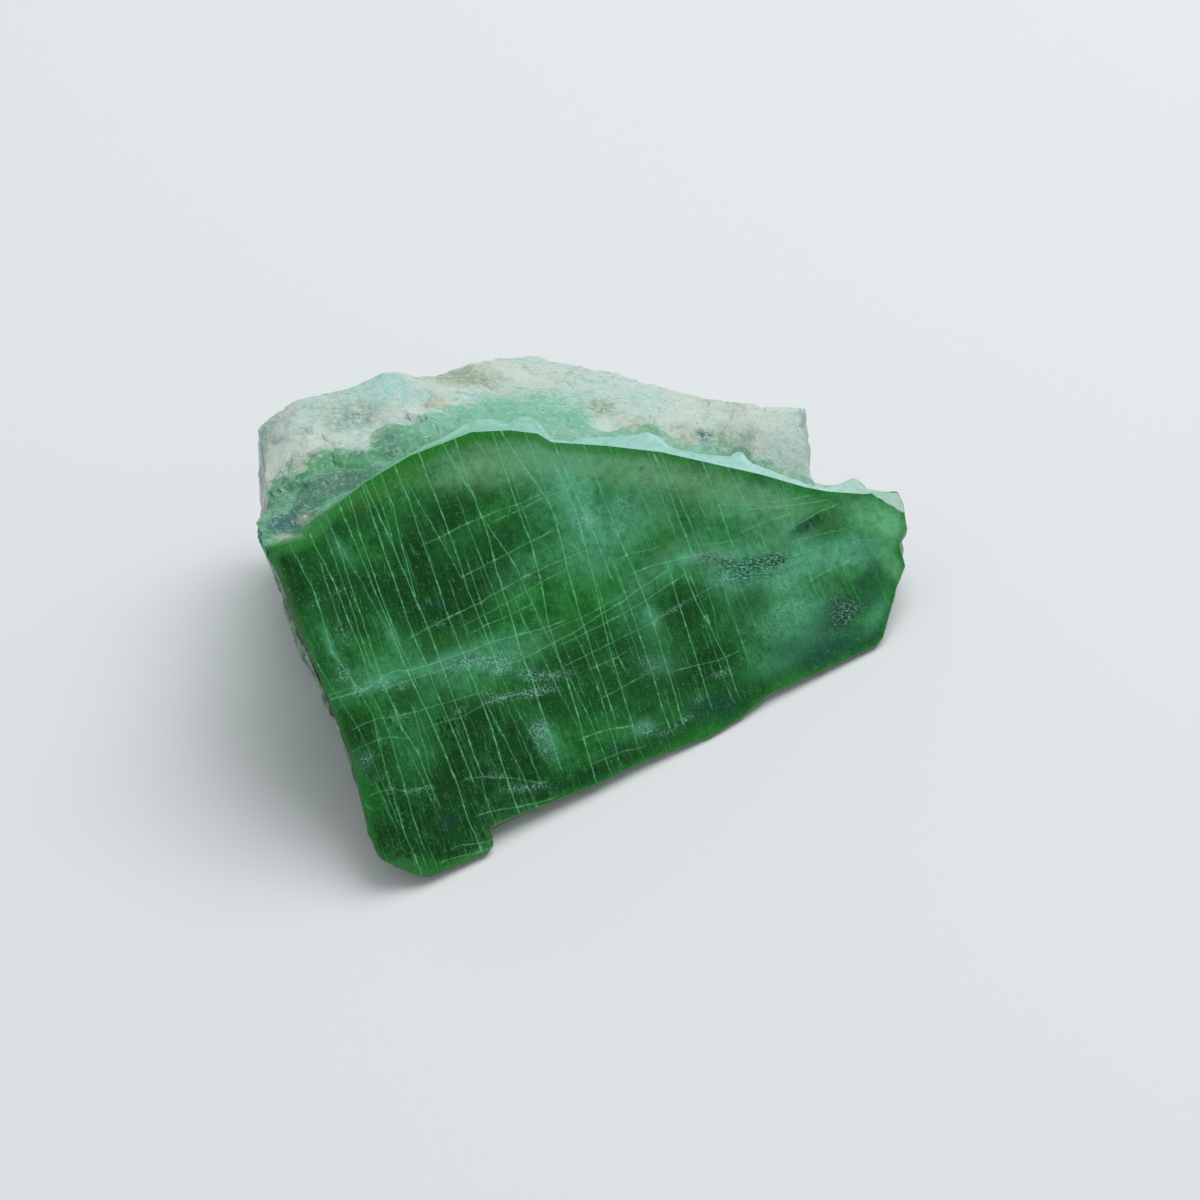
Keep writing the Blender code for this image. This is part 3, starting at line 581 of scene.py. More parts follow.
# Soft patches of colour in the sawn face: place along and up the face, half length, half width,
# turn in degrees, and amount.
FACE_PATCHES = {
    "dark": [
        (-17, 26.2, 1.2, 2.2, 0, 0.8), (-15, 24, 2.2, 3.2, 0, 0.5), (-13, 21.5, 1.8, 2.5, 0, 0.6),
        (-3.5, 24.4, 3.8, 1.6, 0, 0.8), (-6.5, 22.5, 1.5, 1.5, 0, 0.6),
        (-5.5, 18.5, 3.2, 2.6, 0, 1), (-9, 20.5, 1.6, 2.6, 0, 0.6), (-17.5, 13, 1.6, 1.2, 0, 0.7),
        (-8.5, 9.6, 3.2, 1.3, -8, 0.9), (3, 8.5, 3.4, 2.6, 0, 0.7), (7.5, 7, 2, 2.8, 0, 0.6),
        (-15.5, 4.5, 4, 2.4, 0, 0.75), (-13, 2, 3.5, 1.6, -10, 0.8),
        (-18.5, 3.5, 1.6, 1.6, 0, 0.7), (-5, 1.2, 5, 0.9, -4, 0.7), (4, 1, 5, 0.9, -3, 0.7),
        (14, 1, 4, 1, 0, 0.6), (13.5, 8, 2.6, 2.8, 0, 0.7), (13.5, 4, 2.4, 1.4, 0, 0.7),
        (29.8, 4, 1.8, 1.3, 10, 0.1), (1.5, 21.3, 1.5, 1, 0, 0.5), (17, 15, 0.8, 2.5, 0, 0.35),
        (-5.5, 5.2, 1.2, 2.5, 0, 0.7), (19, 7.4, 1.5, 1, 0, 0.6),
        (27.2, 10.95, 1.5, 0.45, 6, 0.7), (28.7, 10.2, 2.2, 0.9, 8, 0.45),
        (-12.5, 12.5, 1.5, 1, 0, 0.4), (25, 2.8, 4, 1.2, 12, 0.3), (-17.3, 9.5, 1.8, 3, 0, 0.75),
        (-10, 6, 2.8, 2.6, 0, 0.95), (-6, 4.5, 2.4, 2.6, 0, 0.6), (10, 3.8, 2.4, 1.4, 0, 0.5),
        (-10, 27.6, 2.5, 1, 5, 0.55), (-10, 22.2, 1.6, 1.2, 0, 0.5), (-14, 0.8, 2.2, 1, 0, 0.6),
        (-18, 19, 1, 3, 0, 0.4), (-2, 7.5, 1.6, 1.2, 0, 0.5), (-2, 19.5, 3, 1.6, 0, 0.4),
        (2.5, 5, 2.4, 1.6, 0, 0.4),
    ],
    # Pale milky stone, and partly painted glints along the veins and a painted reflection haze on
    # the polished face.
    "milky_and_glints": [
        (8.8, 22.8, 1.5, 3.4, 0, 0.85), (26, 10.5, 1.6, 1.4, 0, 0.5), (-13.8, 16, 3, 1, 0, 0.35),
        (-10, 14.7, 5.5, 0.5, -6, 0.4), (-5, 13, 5, 1.4, -8, 0.45), (12.5, 13, 3, 1, 8, 0.45),
        (-3, 5.2, 0.9, 1.6, 0, 0.5), (23, 14.4, 4, 1.6, -33, 0.6), (9, 17.5, 3.6, 2.2, 0, 0.6),
        (21, 10, 3.8, 1.8, -15, 0.65), (23.2, 5.2, 3, 2.2, -20, 0.5), (27.5, 8, 4, 1.2, -8, 0.7),
        (30.5, 6.8, 2.5, 1, -10, 0.5), (-16.3, 19.5, 0.3, 1.3, 0, 0.7),
        (10.3, 9.9, 0.5, 0.9, 0, 1), (5.3, 2.3, 1, 0.7, -15, 0.6), (-12, 26, 0.5, 1.2, 10, 0.4),
        (-11.2, 18.2, 0.4, 1.2, 0, 0.6), (15.5, 12.9, 1.6, 0.4, -10, 0.5),
        (29.5, 1.6, 1.5, 0.6, 30, 0.4), (8.8, 6.2, 1.3, 0.7, -25, 0.7), (0, 29, 1.5, 0.5, 0, 0.3),
        (-8, 5.6, 2, 0.7, -20, 0.4), (-18.2, 10, 0.8, 1.2, 0, 0.4),
        (20.5, 1.8, 3.4, 0.7, 0, 0.45), (0.5, 18, 3, 1, 0, 0.2), (10, 24.4, 2.4, 1.6, -25, 1),
        (7, 25.2, 2, 1.2, -20, 0.3), (6, 26.4, 3, 1.6, -15, 0.5), (28.5, 1.8, 3.4, 1.3, 12, 0.2),
        (14.5, 18.5, 3, 2.4, -20, 0.35), (15, 21.8, 2, 1.2, -30, 0.4),
        (18.5, 10.5, 2.2, 1.5, -10, 0.3), (6, 22, 1.6, 1.4, 0, 0.3),
        (22.8, 3.6, 2.2, 1.2, 0, 0.35), (17, 13.6, 1.5, 1, -20, 0.4), (30.6, 5.6, 1.6, 1, 0, 0.2),
        (-13.5, 9.5, 2.2, 1.8, 0, 0.12), (18.5, 5.5, 2, 3.5, 0, 0.2), (8.8, 8.5, 1.6, 3, 0, 0.3),
    ],
    # Painted glow of light through the thin stone at the edges of the face: the right tip, the top
    # left and the lower edge.
    "lime_edge_glow": [
        (32.8, 9.4, 2.6, 1.3, -35, 0.72), (34.5, 7.7, 1.1, 1.3, -20, 0.8),
        (32.9, 4.4, 0.6, 1.8, 12, 0.75), (-15.6, 27.9, 2.3, 0.45, 4, 0.85),
        (-12.2, 28.5, 1.5, 0.4, 25, 0.6), (-9.5, 29, 2, 0.3, 10, 0.4),
        (-8, 1.2, 2.8, 0.5, -8, 0.45), (-13.2, -0.1, 2, 0.6, 4, 0.4),
        (-18.6, 2.2, 0.8, 0.8, -40, 0.4),
    ],
    # Painted sheen: pale bands on the upper face below the crest, where the polished face catches
    # the light.
    "painted_sheen": [
        (4.5, 26, 4.6, 1.3, -12, 0.75), (13.8, 21.6, 4.4, 1.1, -30, 0.7),
        (0.5, 27.6, 3, 1, -3, 0.4), (20.5, 17.2, 4.4, 1.2, -34, 0.65),
        (26, 13.2, 3, 0.9, -33, 0.5), (17.5, 12.2, 1.5, 0.6, -30, 0.5),
    ],
    # Olive-green stone, and along the crest a painted highlight band.
    "olive_and_highlight": [
        (-5.5, 28.7, 3, 0.6, 5, 0.8), (0.5, 29, 3.5, 0.5, -3, 0.7),
        (5.5, 27.5, 2.5, 0.5, -20, 0.5), (-8.8, 28.2, 1.2, 0.5, 8, 0.6),
        (14, 14.2, 2, 0.7, 0, 0.6), (20, 15.5, 2.5, 1.5, -20, 0.35), (24, 11.2, 2.2, 1, 0, 0.7),
        (28, 10.2, 2.5, 0.6, 0, 0.6), (0, 12.4, 3, 0.5, 0, 0.35), (15, 17.5, 1.5, 1.8, 0, 0.4),
        (18, 20.2, 1.5, 0.4, -32, 0.6), (14.2, 22.6, 1.5, 0.4, -30, 0.5),
        (26.5, 5.2, 1.2, 0.7, 0, 0.3), (-9, 15.8, 3, 0.5, 0, 0.3),
    ],
    # Vivid green stone in a few places, and mostly painted glow of light through the thin stone
    # along the edges.
    "vivid_and_edge_glow": [
        (-14.5, -0.1, 2.5, 0.7, -8, 0.8), (-8, 1.3, 3, 0.6, -8, 0.8),
        (-18.8, 8.5, 0.7, 5, 3, 0.7), (-18.6, 2.4, 1.2, 1, -40, 0.8),
        (33.2, 5.5, 0.9, 2.4, 15, 0.8), (32.5, 9.3, 2.2, 0.9, -20, 0.7),
        (30.8, 2.8, 1.6, 0.8, 45, 0.7), (19.5, 0.2, 1.8, 0.4, -5, 0.45),
        (8.5, -0.1, 2.5, 0.5, -5, 0.6), (-17, 13.8, 0.8, 1.2, 0, 0.5),
        (-16.5, 6.5, 1.5, 1.5, 0, 0.4), (-13.8, 5.2, 0.8, 1.5, 0, 0.4),
        (34.8, 7.6, 1, 0.8, 0, 0.8), (5, 14, 2.5, 2, 0, 0.35), (-15.5, 27.6, 2.2, 0.5, 8, 0.9),
        (13.5, 16.2, 2, 1.5, 0, 0.35), (24, 10.9, 1.5, 0.8, 0, 0.4),
    ],
    "teal": [
        (23.5, 0.9, 2.8, 0.9, -5, 0.8), (28.5, 0.1, 1.8, 0.6, 15, 0.3),
        (30.2, 3.6, 1.8, 1.3, 20, 0.42), (26.4, 10.9, 1, 0.35, 12, 0.6),
        (-6.2, 18.6, 0.4, 0.25, 0, 1), (-7.6, 19, 0.3, 0.2, 0, 1), (15.3, 21, 0.15, 0.15, 0, 1),
        (1.3, 20.8, 0.4, 0.25, 30, 0.4), (12, 1.2, 2, 0.8, -15, 0.6),
        (25.5, 3.2, 1.8, 0.8, 10, 0.4), (2.1, 2.1, 0.5, 0.3, 0, 0.8), (20, 2.5, 1.5, 0.6, 0, 0.4),
        (-13.8, 2.9, 0.8, 0.4, 0, 0.5), (31, 7, 1.2, 0.6, -10, 0.3),
    ],
    "sugar": [
        (-16.3, 17.1, 0.4, 0.5, -30, 1), (-15.8, 15.3, 0.45, 0.25, 0, 1),
        (-14, 15, 1.2, 0.4, -8, 0.5), (-12.3, 14.1, 0.5, 0.3, 0, 0.6),
        (-7.4, 13.6, 1.8, 0.35, -12, 0.6), (-4.5, 12.8, 2, 0.5, -20, 0.8),
        (-4.1, 11.7, 0.6, 0.3, -10, 1), (-1.7, 10.2, 0.9, 0.45, -35, 1),
        (0.3, 9.3, 1.2, 0.3, -18, 0.8), (-5, 9.7, 1.2, 0.25, -8, 0.9),
        (-2, 8.9, 1.4, 0.35, -15, 1), (-3.1, 6.1, 0.7, 0.5, 0, 1), (-3.3, 4.7, 0.6, 0.9, 0, 0.5),
        (9, 19.4, 0.3, 0.7, 10, 0.9), (8, 19.6, 0.5, 0.3, 0, 0.6),
        (12.6, 19.2, 0.8, 0.5, -20, 0.5), (11, 17.4, 0.5, 0.3, 0, 0.8),
        (1.8, 17.45, 0.35, 0.12, 0, 1), (5.5, 2.1, 0.7, 0.4, -25, 0.8),
        (7, 1.15, 0.5, 0.2, 0, 0.9), (9, 1.4, 0.7, 0.3, 0, 0.6), (-7.3, 17.1, 0.5, 0.12, -15, 1),
        (12.3, 9.7, 1.4, 0.2, 3, 0.5), (16.7, 12.5, 1, 0.3, -35, 0.8),
        (21.3, 5.7, 0.5, 0.35, 20, 0.9), (23, 5.2, 1, 0.5, -20, 0.5),
        (13.8, 3.3, 0.6, 0.3, 0, 0.7), (26.9, 3.2, 0.6, 0.7, 0, 0.9),
        (22.5, 7.5, 1, 0.6, -40, 0.5), (19.5, 4.8, 0.9, 0.5, -30, 0.4),
        (-6.5, 2.5, 1.5, 0.3, -22, 0.7), (-8.3, 4.4, 0.8, 0.2, -28, 0.6),
        (-14.9, 6.3, 0.9, 0.15, -18, 0.8), (-17, 7.3, 0.3, 0.15, 0, 1),
        (-17.7, 10.3, 0.6, 0.3, 0, 0.6), (-16.9, 8.5, 0.3, 0.15, 0, 0.8),
        (-10.5, 2.6, 0.3, 0.15, 0, 0.5), (17.8, 10, 0.8, 0.4, -20, 0.8),
        (-8.7, 10.3, 0.5, 0.15, 0, 0.6), (-6, 10.6, 0.5, 0.3, -40, 0.6),
        (19.2, 11.6, 0.6, 0.3, 0, 0.7), (27.7, 8.6, 0.5, 0.2, 0, 0.5),
        (-13.8, 12, 0.8, 0.3, -30, 0.4), (-15.9, 23, 0.7, 0.12, 0, 0.5),
        (30.5, 7.6, 0.8, 0.2, -20, 0.5), (11, 2.3, 0.6, 0.2, 0, 0.5),
        (8.2, 6.4, 0.3, 0.4, 0, 0.6), (-14.8, 19.8, 0.6, 1, 0, 0.3),
        (-13.6, 22.9, 0.4, 0.2, 0, 0.5),
    ],
    "speckle": [
        (21.3, 9.9, 2.2, 0.55, -12, 1), (23, 9.4, 0.9, 0.4, -15, 1),
        (17.3, 12.1, 0.8, 0.3, -35, 0.8), (18.8, 10.9, 1, 0.5, -30, 0.8),
        (26.7, 3.4, 0.9, 1, 0, 0.9), (26, 2.4, 1.2, 0.5, 0, 0.7), (19.3, 9.4, 1.2, 0.4, -12, 0.7),
        (0.8, 9.1, 1, 0.15, -15, 0.4), (28.3, 2.9, 0.8, 0.4, 0, 0.5), (22, 8.6, 1, 0.3, -15, 0.6),
    ],
}

# Soft patches in the broken stone: place in the stone's own frame, radius, and amount.
STONE_PATCHES = {
    "light": [
        (17.2, 11.5, 11.2, 1.3, 0.6), (5, 16.8, 14.6, 2, 0.5), (-12, 10.5, 18.7, 1.2, 0.8),
        (5, 16.6, 14.8, 2.4, 0.7), (9, 14.8, 14.2, 2.2, 0.7), (12.5, 13.8, 13.8, 1.5, 0.5),
        (-25.6, 3.8, 16.8, 1.5, 0.9), (-22.9, 5.6, 18.6, 1.8, 0.7), (-18.8, 4.9, 19.4, 1.5, 0.7),
        (-13.4, 8.6, 19, 1.5, 0.7), (15.9, 14.1, 13.7, 1.8, 0.8), (-24, 9, 18, 2, 0.5),
        (1.4, 11.6, 15.4, 0.8, 0.9), (6.3, 16, 14.4, 2, 0.5), (-5.4, 19.5, 14.2, 2.2, 0.4),
    ],
    "mint": [
        (-16.7, 13, 19.1, 2.8, 0.9), (-0.3, 15.2, 15, 1.4, 0.8), (4.7, 15.4, 14.8, 2.2, 0.6),
        (-13.4, 11.6, 18.4, 1.2, 0.5), (-21.5, 10, 18.5, 2, 0.4),
    ],
    # Painted shade in the rind's hollows and pits.
    "hollow_shade": [
        (-19.7, 7.9, 18.9, 1.2, 0.6), (-18.2, 9.1, 18.8, 1.3, 0.6), (-17.6, 7.6, 19, 0.9, 0.4),
        (-20.8, 9.6, 18.4, 1, 0.3), (-26.9, 10.7, 15.1, 1.8, 0.7), (15.9, 12.3, 12, 1.2, 0.2),
        (17.7, 12, 10.9, 0.9, 0.2), (-11, 18.5, 15, 2.5, 0.6), (-26.8, 7.8, 13.6, 2, 0.7),
    ],
    "slate": [
        (-22.4, -5.3, 19.5, 1.1, 1.3), (-23.6, -5.6, 19.4, 1, 0.7), (-21, -2.1, 19.9, 1.4, 1.1),
        (-19.3, -1.8, 20.1, 1.4, 1), (-17.4, -1.4, 20.3, 1.2, 0.6), (-22.8, -4, 19.8, 1, 0.6),
        (-25, -1.2, 17.9, 1.2, 0.4), (-15.5, 2.2, 20.2, 0.9, 0.4),
    ],
    "grass": [
        (-20.1, 1.9, 19.4, 1.7, 1), (-23.5, 0.2, 18.6, 1.2, 0.6), (-17.5, 1.2, 20, 1.3, 0.7),
        (-14.3, 4, 20, 1.5, 0.5), (11.5, 11.6, 13.2, 0.8, 0.5), (5.2, 11, 15.2, 1, 0.4),
    ],
    "leaf": [
        (-10.3, 7.4, 19.7, 1.8, 0.9), (-7.5, 7.4, 19.6, 1.8, 0.9), (-3.4, 13.6, 15.7, 2.4, 1),
        (-6.5, 11, 17.5, 2.2, 1), (-0.6, 11.6, 16, 1.3, 0.8), (-13, 5.4, 20, 1.2, 0.5),
        (-4, 9.5, 18, 1.8, 0.7),
    ],
    "lagoon": [
        (-23.5, -6.1, 19.6, 1.1, 1), (-22.9, -5, 19.7, 0.8, 0.7), (-24.3, 1.2, 17.9, 0.5, 1),
        (-15.7, 4.4, 19.8, 0.7, 0.6), (9.9, 11.6, 14, 0.6, 1.1), (-18.2, 2.6, 19.7, 0.5, 0.7),
        (-21.8, 3.2, 18.9, 0.4, 0.7),
    ],
    "buff": [
        (-22.1, -5.5, 19.9, 0.5, 0.9), (-23.5, -7.9, 19.8, 0.5, 0.9),
        (-12.1, 10.2, 18.8, 0.9, 0.8), (8.1, 11.6, 14.5, 1, 0.8), (3.6, 11.8, 15.3, 0.9, 0.4),
        (13.4, 12.4, 13.4, 1.2, 0.3), (-16.6, 5.8, 19.4, 0.7, 0.4),
    ],
    "moss": [
        (1.4, 13.9, 15.3, 0.9, 0.9), (-11, 18.5, 15, 2.5, 0.5), (11.5, 12.6, 13.2, 0.9, 0.7),
        (-8.5, 17, 15.5, 2, 0.4),
    ],
}


def vein_set(flat, veins, across):
    """For each point: its offset from the nearest vein, that distance, and the vein's strength.

    A vein is a line over one of the two directions of the face, straight between its points, and
    its strength falls to nothing beyond its ends."""
    nearest = np.tile([FAR_PAST, FAR_PAST, 0.0], (len(flat), 1))
    along = 1 - across
    for strength, route in veins:
        line = np.array(sorted(route, key=lambda point: point[along]))
        ends = line[[0, -1], along]
        offset = flat[:, across] - np.interp(flat[:, along], line[:, along], line[:, across])
        past = np.minimum(flat[:, along] - ends[0], ends[1] - flat[:, along])
        shown = strength * np.clip(past / VEIN_FADE + 1.0, 0.0, 1.0)
        closer = (np.abs(offset) < nearest[:, 1]) & (shown > 0.0)
        nearest = np.where(closer[:, None], np.stack([offset, np.abs(offset), shown], -1), nearest)
    return nearest


def oval_patches(flat, patches):
    """Sum of soft oval patches: each falls off as a bell over its turned length and width."""
    total = np.zeros(len(flat))
    for along, up, length, width, turn, amount in patches:
        turned = np.radians(turn)
        near = flat - (along, up)
        long_way = near @ (np.cos(turned), np.sin(turned)) / length
        short_way = near @ (-np.sin(turned), np.cos(turned)) / width
        total += amount * np.exp(-((long_way**2 + short_way**2) ** 1.5) * 0.5)
    return np.clip(total, 0.0, 1.0)


def round_patches(points, patches):
    """Sum of soft round patches: each falls off as a bell over its radius."""
    total = np.zeros(len(points))
    for *centre, radius, amount in patches:
        away = np.linalg.norm(points - ORIGIN - centre, axis=-1) / radius
        total += amount * np.exp(-(away**3) * 0.5)
    return np.clip(total, 0.0, 1.0)


def distance_to_edge(flat, first, last):
    """Distance of points of the face to the part of its edge between two stations."""
    nearest = np.full(len(flat), np.inf)
    for place in on_edge(np.arange(first, last, EDGE_STEP)):
        nearest = np.minimum(nearest, np.sum((flat - place) ** 2, -1))
    return np.sqrt(nearest)


mesh, points, flat, past_green, skin = stone_mesh()
on_face = flat[:, 0] < FAR_OFF
seen = flat[on_face]


def store(name, values):
    """Put one value or vector for each point of the mesh into an attribute."""
    kind, field = ("FLOAT", "value") if values.ndim == 1 else ("FLOAT_VECTOR", "vector")
    mesh.attributes.new(name, kind, "POINT").data.foreach_set(field, values.ravel())


def store_on_face(name, values):
    """Put values for the points of the face into an attribute, and nothing elsewhere."""
    whole = np.zeros((len(points), *values.shape[1:]))
    whole[on_face] = values
    store(name, whole)


for number in range(VEIN_SETS):
    store_on_face(f"upright_{number}", vein_set(seen, UPRIGHT_VEINS[number::VEIN_SETS], 0))
for number in range(CROSS_SETS):
    store_on_face(f"cross_{number}", vein_set(seen, CROSS_VEINS[number::CROSS_SETS], 1))
for name, patches in FACE_PATCHES.items():
    store_on_face(name, oval_patches(seen, patches))
for name, patches in STONE_PATCHES.items():
    store(name, round_patches(points, patches))
store_on_face("rim", distance_to_edge(seen, 0.0, CREST_END))
store_on_face("side", distance_to_edge(seen, CREST_END, corner_stations()[-1]))
store("past_green", past_green)
store("skin", skin)
mesh.set_sharp_from_angle(angle=np.radians(SHARP_ANGLE))
jade = bpy.data.objects.new("jade_stone_surface", mesh)
bpy.context.collection.objects.link(jade)


def tint(red, green, blue):
    """A colour from 0 to 255 as the linear values of a shader."""
    share = np.array([red, green, blue]) / 255.0
    linear = np.where(share > 0.04045, ((share + 0.055) / 1.055) ** 2.4, share / 12.92)
    return (*linear.tolist(), 1.0)


class Nodes:
    """Adds nodes to one node tree; an input is a value or another node's output."""

    def __init__(self, tree):
        self.tree = tree

    def feed(self, socket, value):
        """Give a socket a value or another node's output."""
        if isinstance(value, bpy.types.NodeSocket):
            self.tree.links.new(value, socket)
        else:
            socket.default_value = value

    def add(self, kind, inputs=None, **settings):
        """A new node of a kind, with its settings and inputs."""
        made = self.tree.nodes.new(kind)
        for name, value in settings.items():
            setattr(made, name, value)
        for name, value in (inputs or {}).items():
            self.feed(made.inputs[name], value)
        return made

    def amount(self, name):
        """The value of an attribute of the mesh."""
        return self.add("ShaderNodeAttribute", attribute_name=name).outputs["Fac"]

    def math(self, operation, first, second=0.0, clamp=False):
        """The result of an operation on two values."""
        settings = {"operation": operation, "use_clamp": clamp}
        return self.add("ShaderNodeMath", {0: first, 1: second}, **settings).outputs[0]

    def ramp(self, value, low, high, bottom=0.0, top=1.0):
        """A smooth step from bottom to top as a value goes from low to high."""
        inputs = {"Value": value, "From Min": low, "From Max": high,
                  "To Min": bottom, "To Max": top}
        return self.add("ShaderNodeMapRange", inputs, interpolation_type="SMOOTHSTEP").outputs[0]

    def noise(self, vector, scale, detail=3.0, roughness=0.6, distortion=0.0):
        """Cloudy noise from 0 to 1."""
        inputs = {"Vector": vector, "Scale": scale, "Detail": detail, "Roughness": roughness,
                  "Distortion": distortion}
        return self.add("ShaderNodeTexNoise", inputs).outputs["Fac"]

    def blend(self, amount, first, second):
        """A mix of two colours."""
        made = self.add("ShaderNodeMix", data_type="RGBA")
        factor, first_colour, second_colour = 0, 6, 7
        for index, value in ((factor, amount), (first_colour, first), (second_colour, second)):
            self.feed(made.inputs[index], value)
        mixed_colour = 2
        return made.outputs[mixed_colour]

    def millimetres(self):
        """The place in the object, in millimetres."""
        place = self.add("ShaderNodeTexCoord").outputs["Object"]
        inputs = {"Vector": place, "Scale": (1.0 / MM,) * 3}
        return self.add("ShaderNodeMapping", inputs).outputs[0]

    def along_cut(self, scale, lean=0.0):
        """The place along the cut, up the face and out of it, in millimetres, turned by some
        degrees in the cut and then stretched."""
        place = self.add("ShaderNodeTexCoord").outputs["Object"]
        turn = Matrix(np.stack(face_axes(), 1).tolist()).to_euler()
        zero = ((np.array([0.0, 0.0, FACE_LIFT]) - ORIGIN) * MM).tolist()
        inputs = {"Vector": place, "Location": zero, "Rotation": turn, "Scale": (MM, MM, MM)}
        cut = self.add("ShaderNodeMapping", inputs, vector_type="TEXTURE").outputs[0]
        inputs = {"Vector": cut, "Rotation": (0.0, 0.0, np.radians(lean))}
        turned = self.add("ShaderNodeMapping", inputs).outputs[0]
        return self.add("ShaderNodeMapping", {"Vector": turned, "Scale": scale}).outputs[0]

    def along_up_out(self):
        """The place along the cut, up the face and out of it, as three values in millimetres."""
        return self.add("ShaderNodeSeparateXYZ", {0: self.along_cut((1.0, 1.0, 1.0))}).outputs

    def relief(self, height, strength, depth):
        """The normal of a fine relief with a depth in millimetres."""
        inputs = {"Strength": strength, "Distance": depth * MM, "Height": height}
        return self.add("ShaderNodeBump", inputs).outputs[0]

    def group(self, tree, inputs):
        """A node group's outputs, with its inputs by name."""
        return self.add("ShaderNodeGroup", inputs, node_tree=tree).outputs


def new_group(name, inputs, outputs):
    """A shader node group with named inputs (name, kind, default) and outputs."""
    tree = bpy.data.node_groups.new(name, "ShaderNodeTree")
    for label, kind, value in inputs:
        socket = tree.interface.new_socket(label, in_out="INPUT", socket_type=kind)
        if value is not None:
            socket.default_value = value
    for label, kind in outputs:
        tree.interface.new_socket(label, in_out="OUTPUT", socket_type=kind)
    nodes = Nodes(tree)
    return tree, nodes, nodes.add("NodeGroupInput").outputs, nodes.add("NodeGroupOutput").inputs


# One vein: a thin line, wider and brighter at its beads.
vein_line, group, given, result = new_group(
    "vein_line",
    [("Vein", "NodeSocketVector", None), ("Width", "NodeSocketFloat", 0.1),
     ("Wander", "NodeSocketFloat", 0.0)],
    [("Mask", "NodeSocketFloat")],
)
parts = group.add("ShaderNodeSeparateXYZ", {0: given["Vein"]}).outputs
offset = group.math("ABSOLUTE", group.math("ADD", parts[0], given["Wander"]))
near = group.ramp(offset, given["Width"], group.math("MULTIPLY", given["Width"], 0.15))
own = group.ramp(parts[1], 0.55, 0.35)
strong = group.math("MULTIPLY", group.math("MULTIPLY", near, own), parts[2])
group.feed(result["Mask"], strong)

# Crystal grain: light and dark grains over a colour, some cloudy and some with clear edges.
crystal_grain, group, given, result = new_group(
    "crystal_grain",
    [("Vector", "NodeSocketVector", None), ("Colour", "NodeSocketColor", None),
     ("Light", "NodeSocketColor", None), ("Dark", "NodeSocketColor", None),
     ("Scale", "NodeSocketFloat", 5.0), ("Amount", "NodeSocketFloat", 0.4),
     ("Crystals", "NodeSocketFloat", 0.0)],
    [("Colour", "NodeSocketColor"), ("Grain", "NodeSocketFloat")],
)
cloudy = group.noise(given["Vector"], given["Scale"], 3.0, 0.7)
bend = group.add("ShaderNodeTexNoise", {"Vector": given["Vector"], "Scale": 2.0}).outputs["Color"]
bent = group.add("ShaderNodeVectorMath", {0: given["Vector"], 1: bend}).outputs[0]
size = group.math("MULTIPLY", given["Scale"], 0.6)
cells = group.add("ShaderNodeTexVoronoi", {"Vector": bent, "Scale": size}).outputs["Color"]
one = group.add("ShaderNodeSeparateColor", {0: cells}).outputs[0]
clear = group.ramp(one, 0.0, 1.0, 0.3, 0.7)
grain = group.add("ShaderNodeMix", {0: given["Crystals"], 2: cloudy, 3: clear}).outputs[0]
lighter = group.math("MULTIPLY", group.ramp(grain, 0.54, 0.72), given["Amount"])
darker = group.math("MULTIPLY", group.ramp(grain, 0.46, 0.28), given["Amount"])
shade = group.blend(darker, group.blend(lighter, given["Colour"], given["Light"]), given["Dark"])
group.feed(result["Colour"], shade)
group.feed(result["Grain"], grain)


def finish(name):
    """A new material on the stone, with its nodes and its Principled shader."""
    material = bpy.data.materials.new(name)
    material.use_nodes = True
    mesh.materials.append(material)
    return Nodes(material.node_tree), material.node_tree.nodes["Principled BSDF"].inputs


# The sawn and polished face: cloudy green with soft patches, some of which are painted sheen,
# glints, a highlight band and glow; a brighter edge, painted as glow of light through the thin
# rim; and a clear tip, painted as glow of light through it; then crystal grain, hair-fine veins,
# the two webs of veins, sugary flecks and dark speckle.
DEEP_GREEN, CLEAR_GREEN = tint(14, 82, 26), tint(40, 126, 56)
# The crest and side tints are painted glow of light through the thin edges of the stone.
CREST_GLOW, SIDE_GLOW = tint(36, 118, 34), tint(40, 116, 44)
# The clear tip tint is painted glow of light through the thin right tip.
CLEAR_TIP_GLOW, HAIR_GREEN, SUGAR = tint(186, 218, 204), tint(96, 184, 116), tint(158, 206, 200)
DARK_SPECK, PALE_SPECK = tint(22, 58, 48), tint(150, 184, 172)
# Some of these tints are painted light: a sheen and a highlight band below the crest, glints, and
# glow of light through the thin edges.
PATCH_TINTS = {
    "vivid_and_edge_glow": (34, 122, 36), "olive_and_highlight": (64, 122, 50), "milky_and_glints": (87, 165, 126),
    "painted_sheen": (104, 158, 112), "lime_edge_glow": (102, 180, 126), "dark": (8, 60, 16), "teal": (22, 70, 60),
}
nodes, shader = finish("sawn_jade")
mm = nodes.millimetres()
cloud = nodes.noise(mm, 0.30, 4.0, 0.6, 0.4)
mottle = nodes.noise(mm, 1.4, 4.0, 0.65)
both = nodes.math("ADD", nodes.math("MULTIPLY", cloud, 0.55), nodes.math("MULTIPLY", mottle, 0.45))
colour = nodes.blend(nodes.ramp(both, 0.38, 0.64), DEEP_GREEN, CLEAR_GREEN)
uneven = nodes.ramp(mottle, 0.3, 0.7, 0.6, 1.2)
for name, shade in PATCH_TINTS.items():
    amount = nodes.math("MULTIPLY", nodes.amount(name), uneven, clamp=True)
    colour = nodes.blend(amount, colour, tint(*shade))
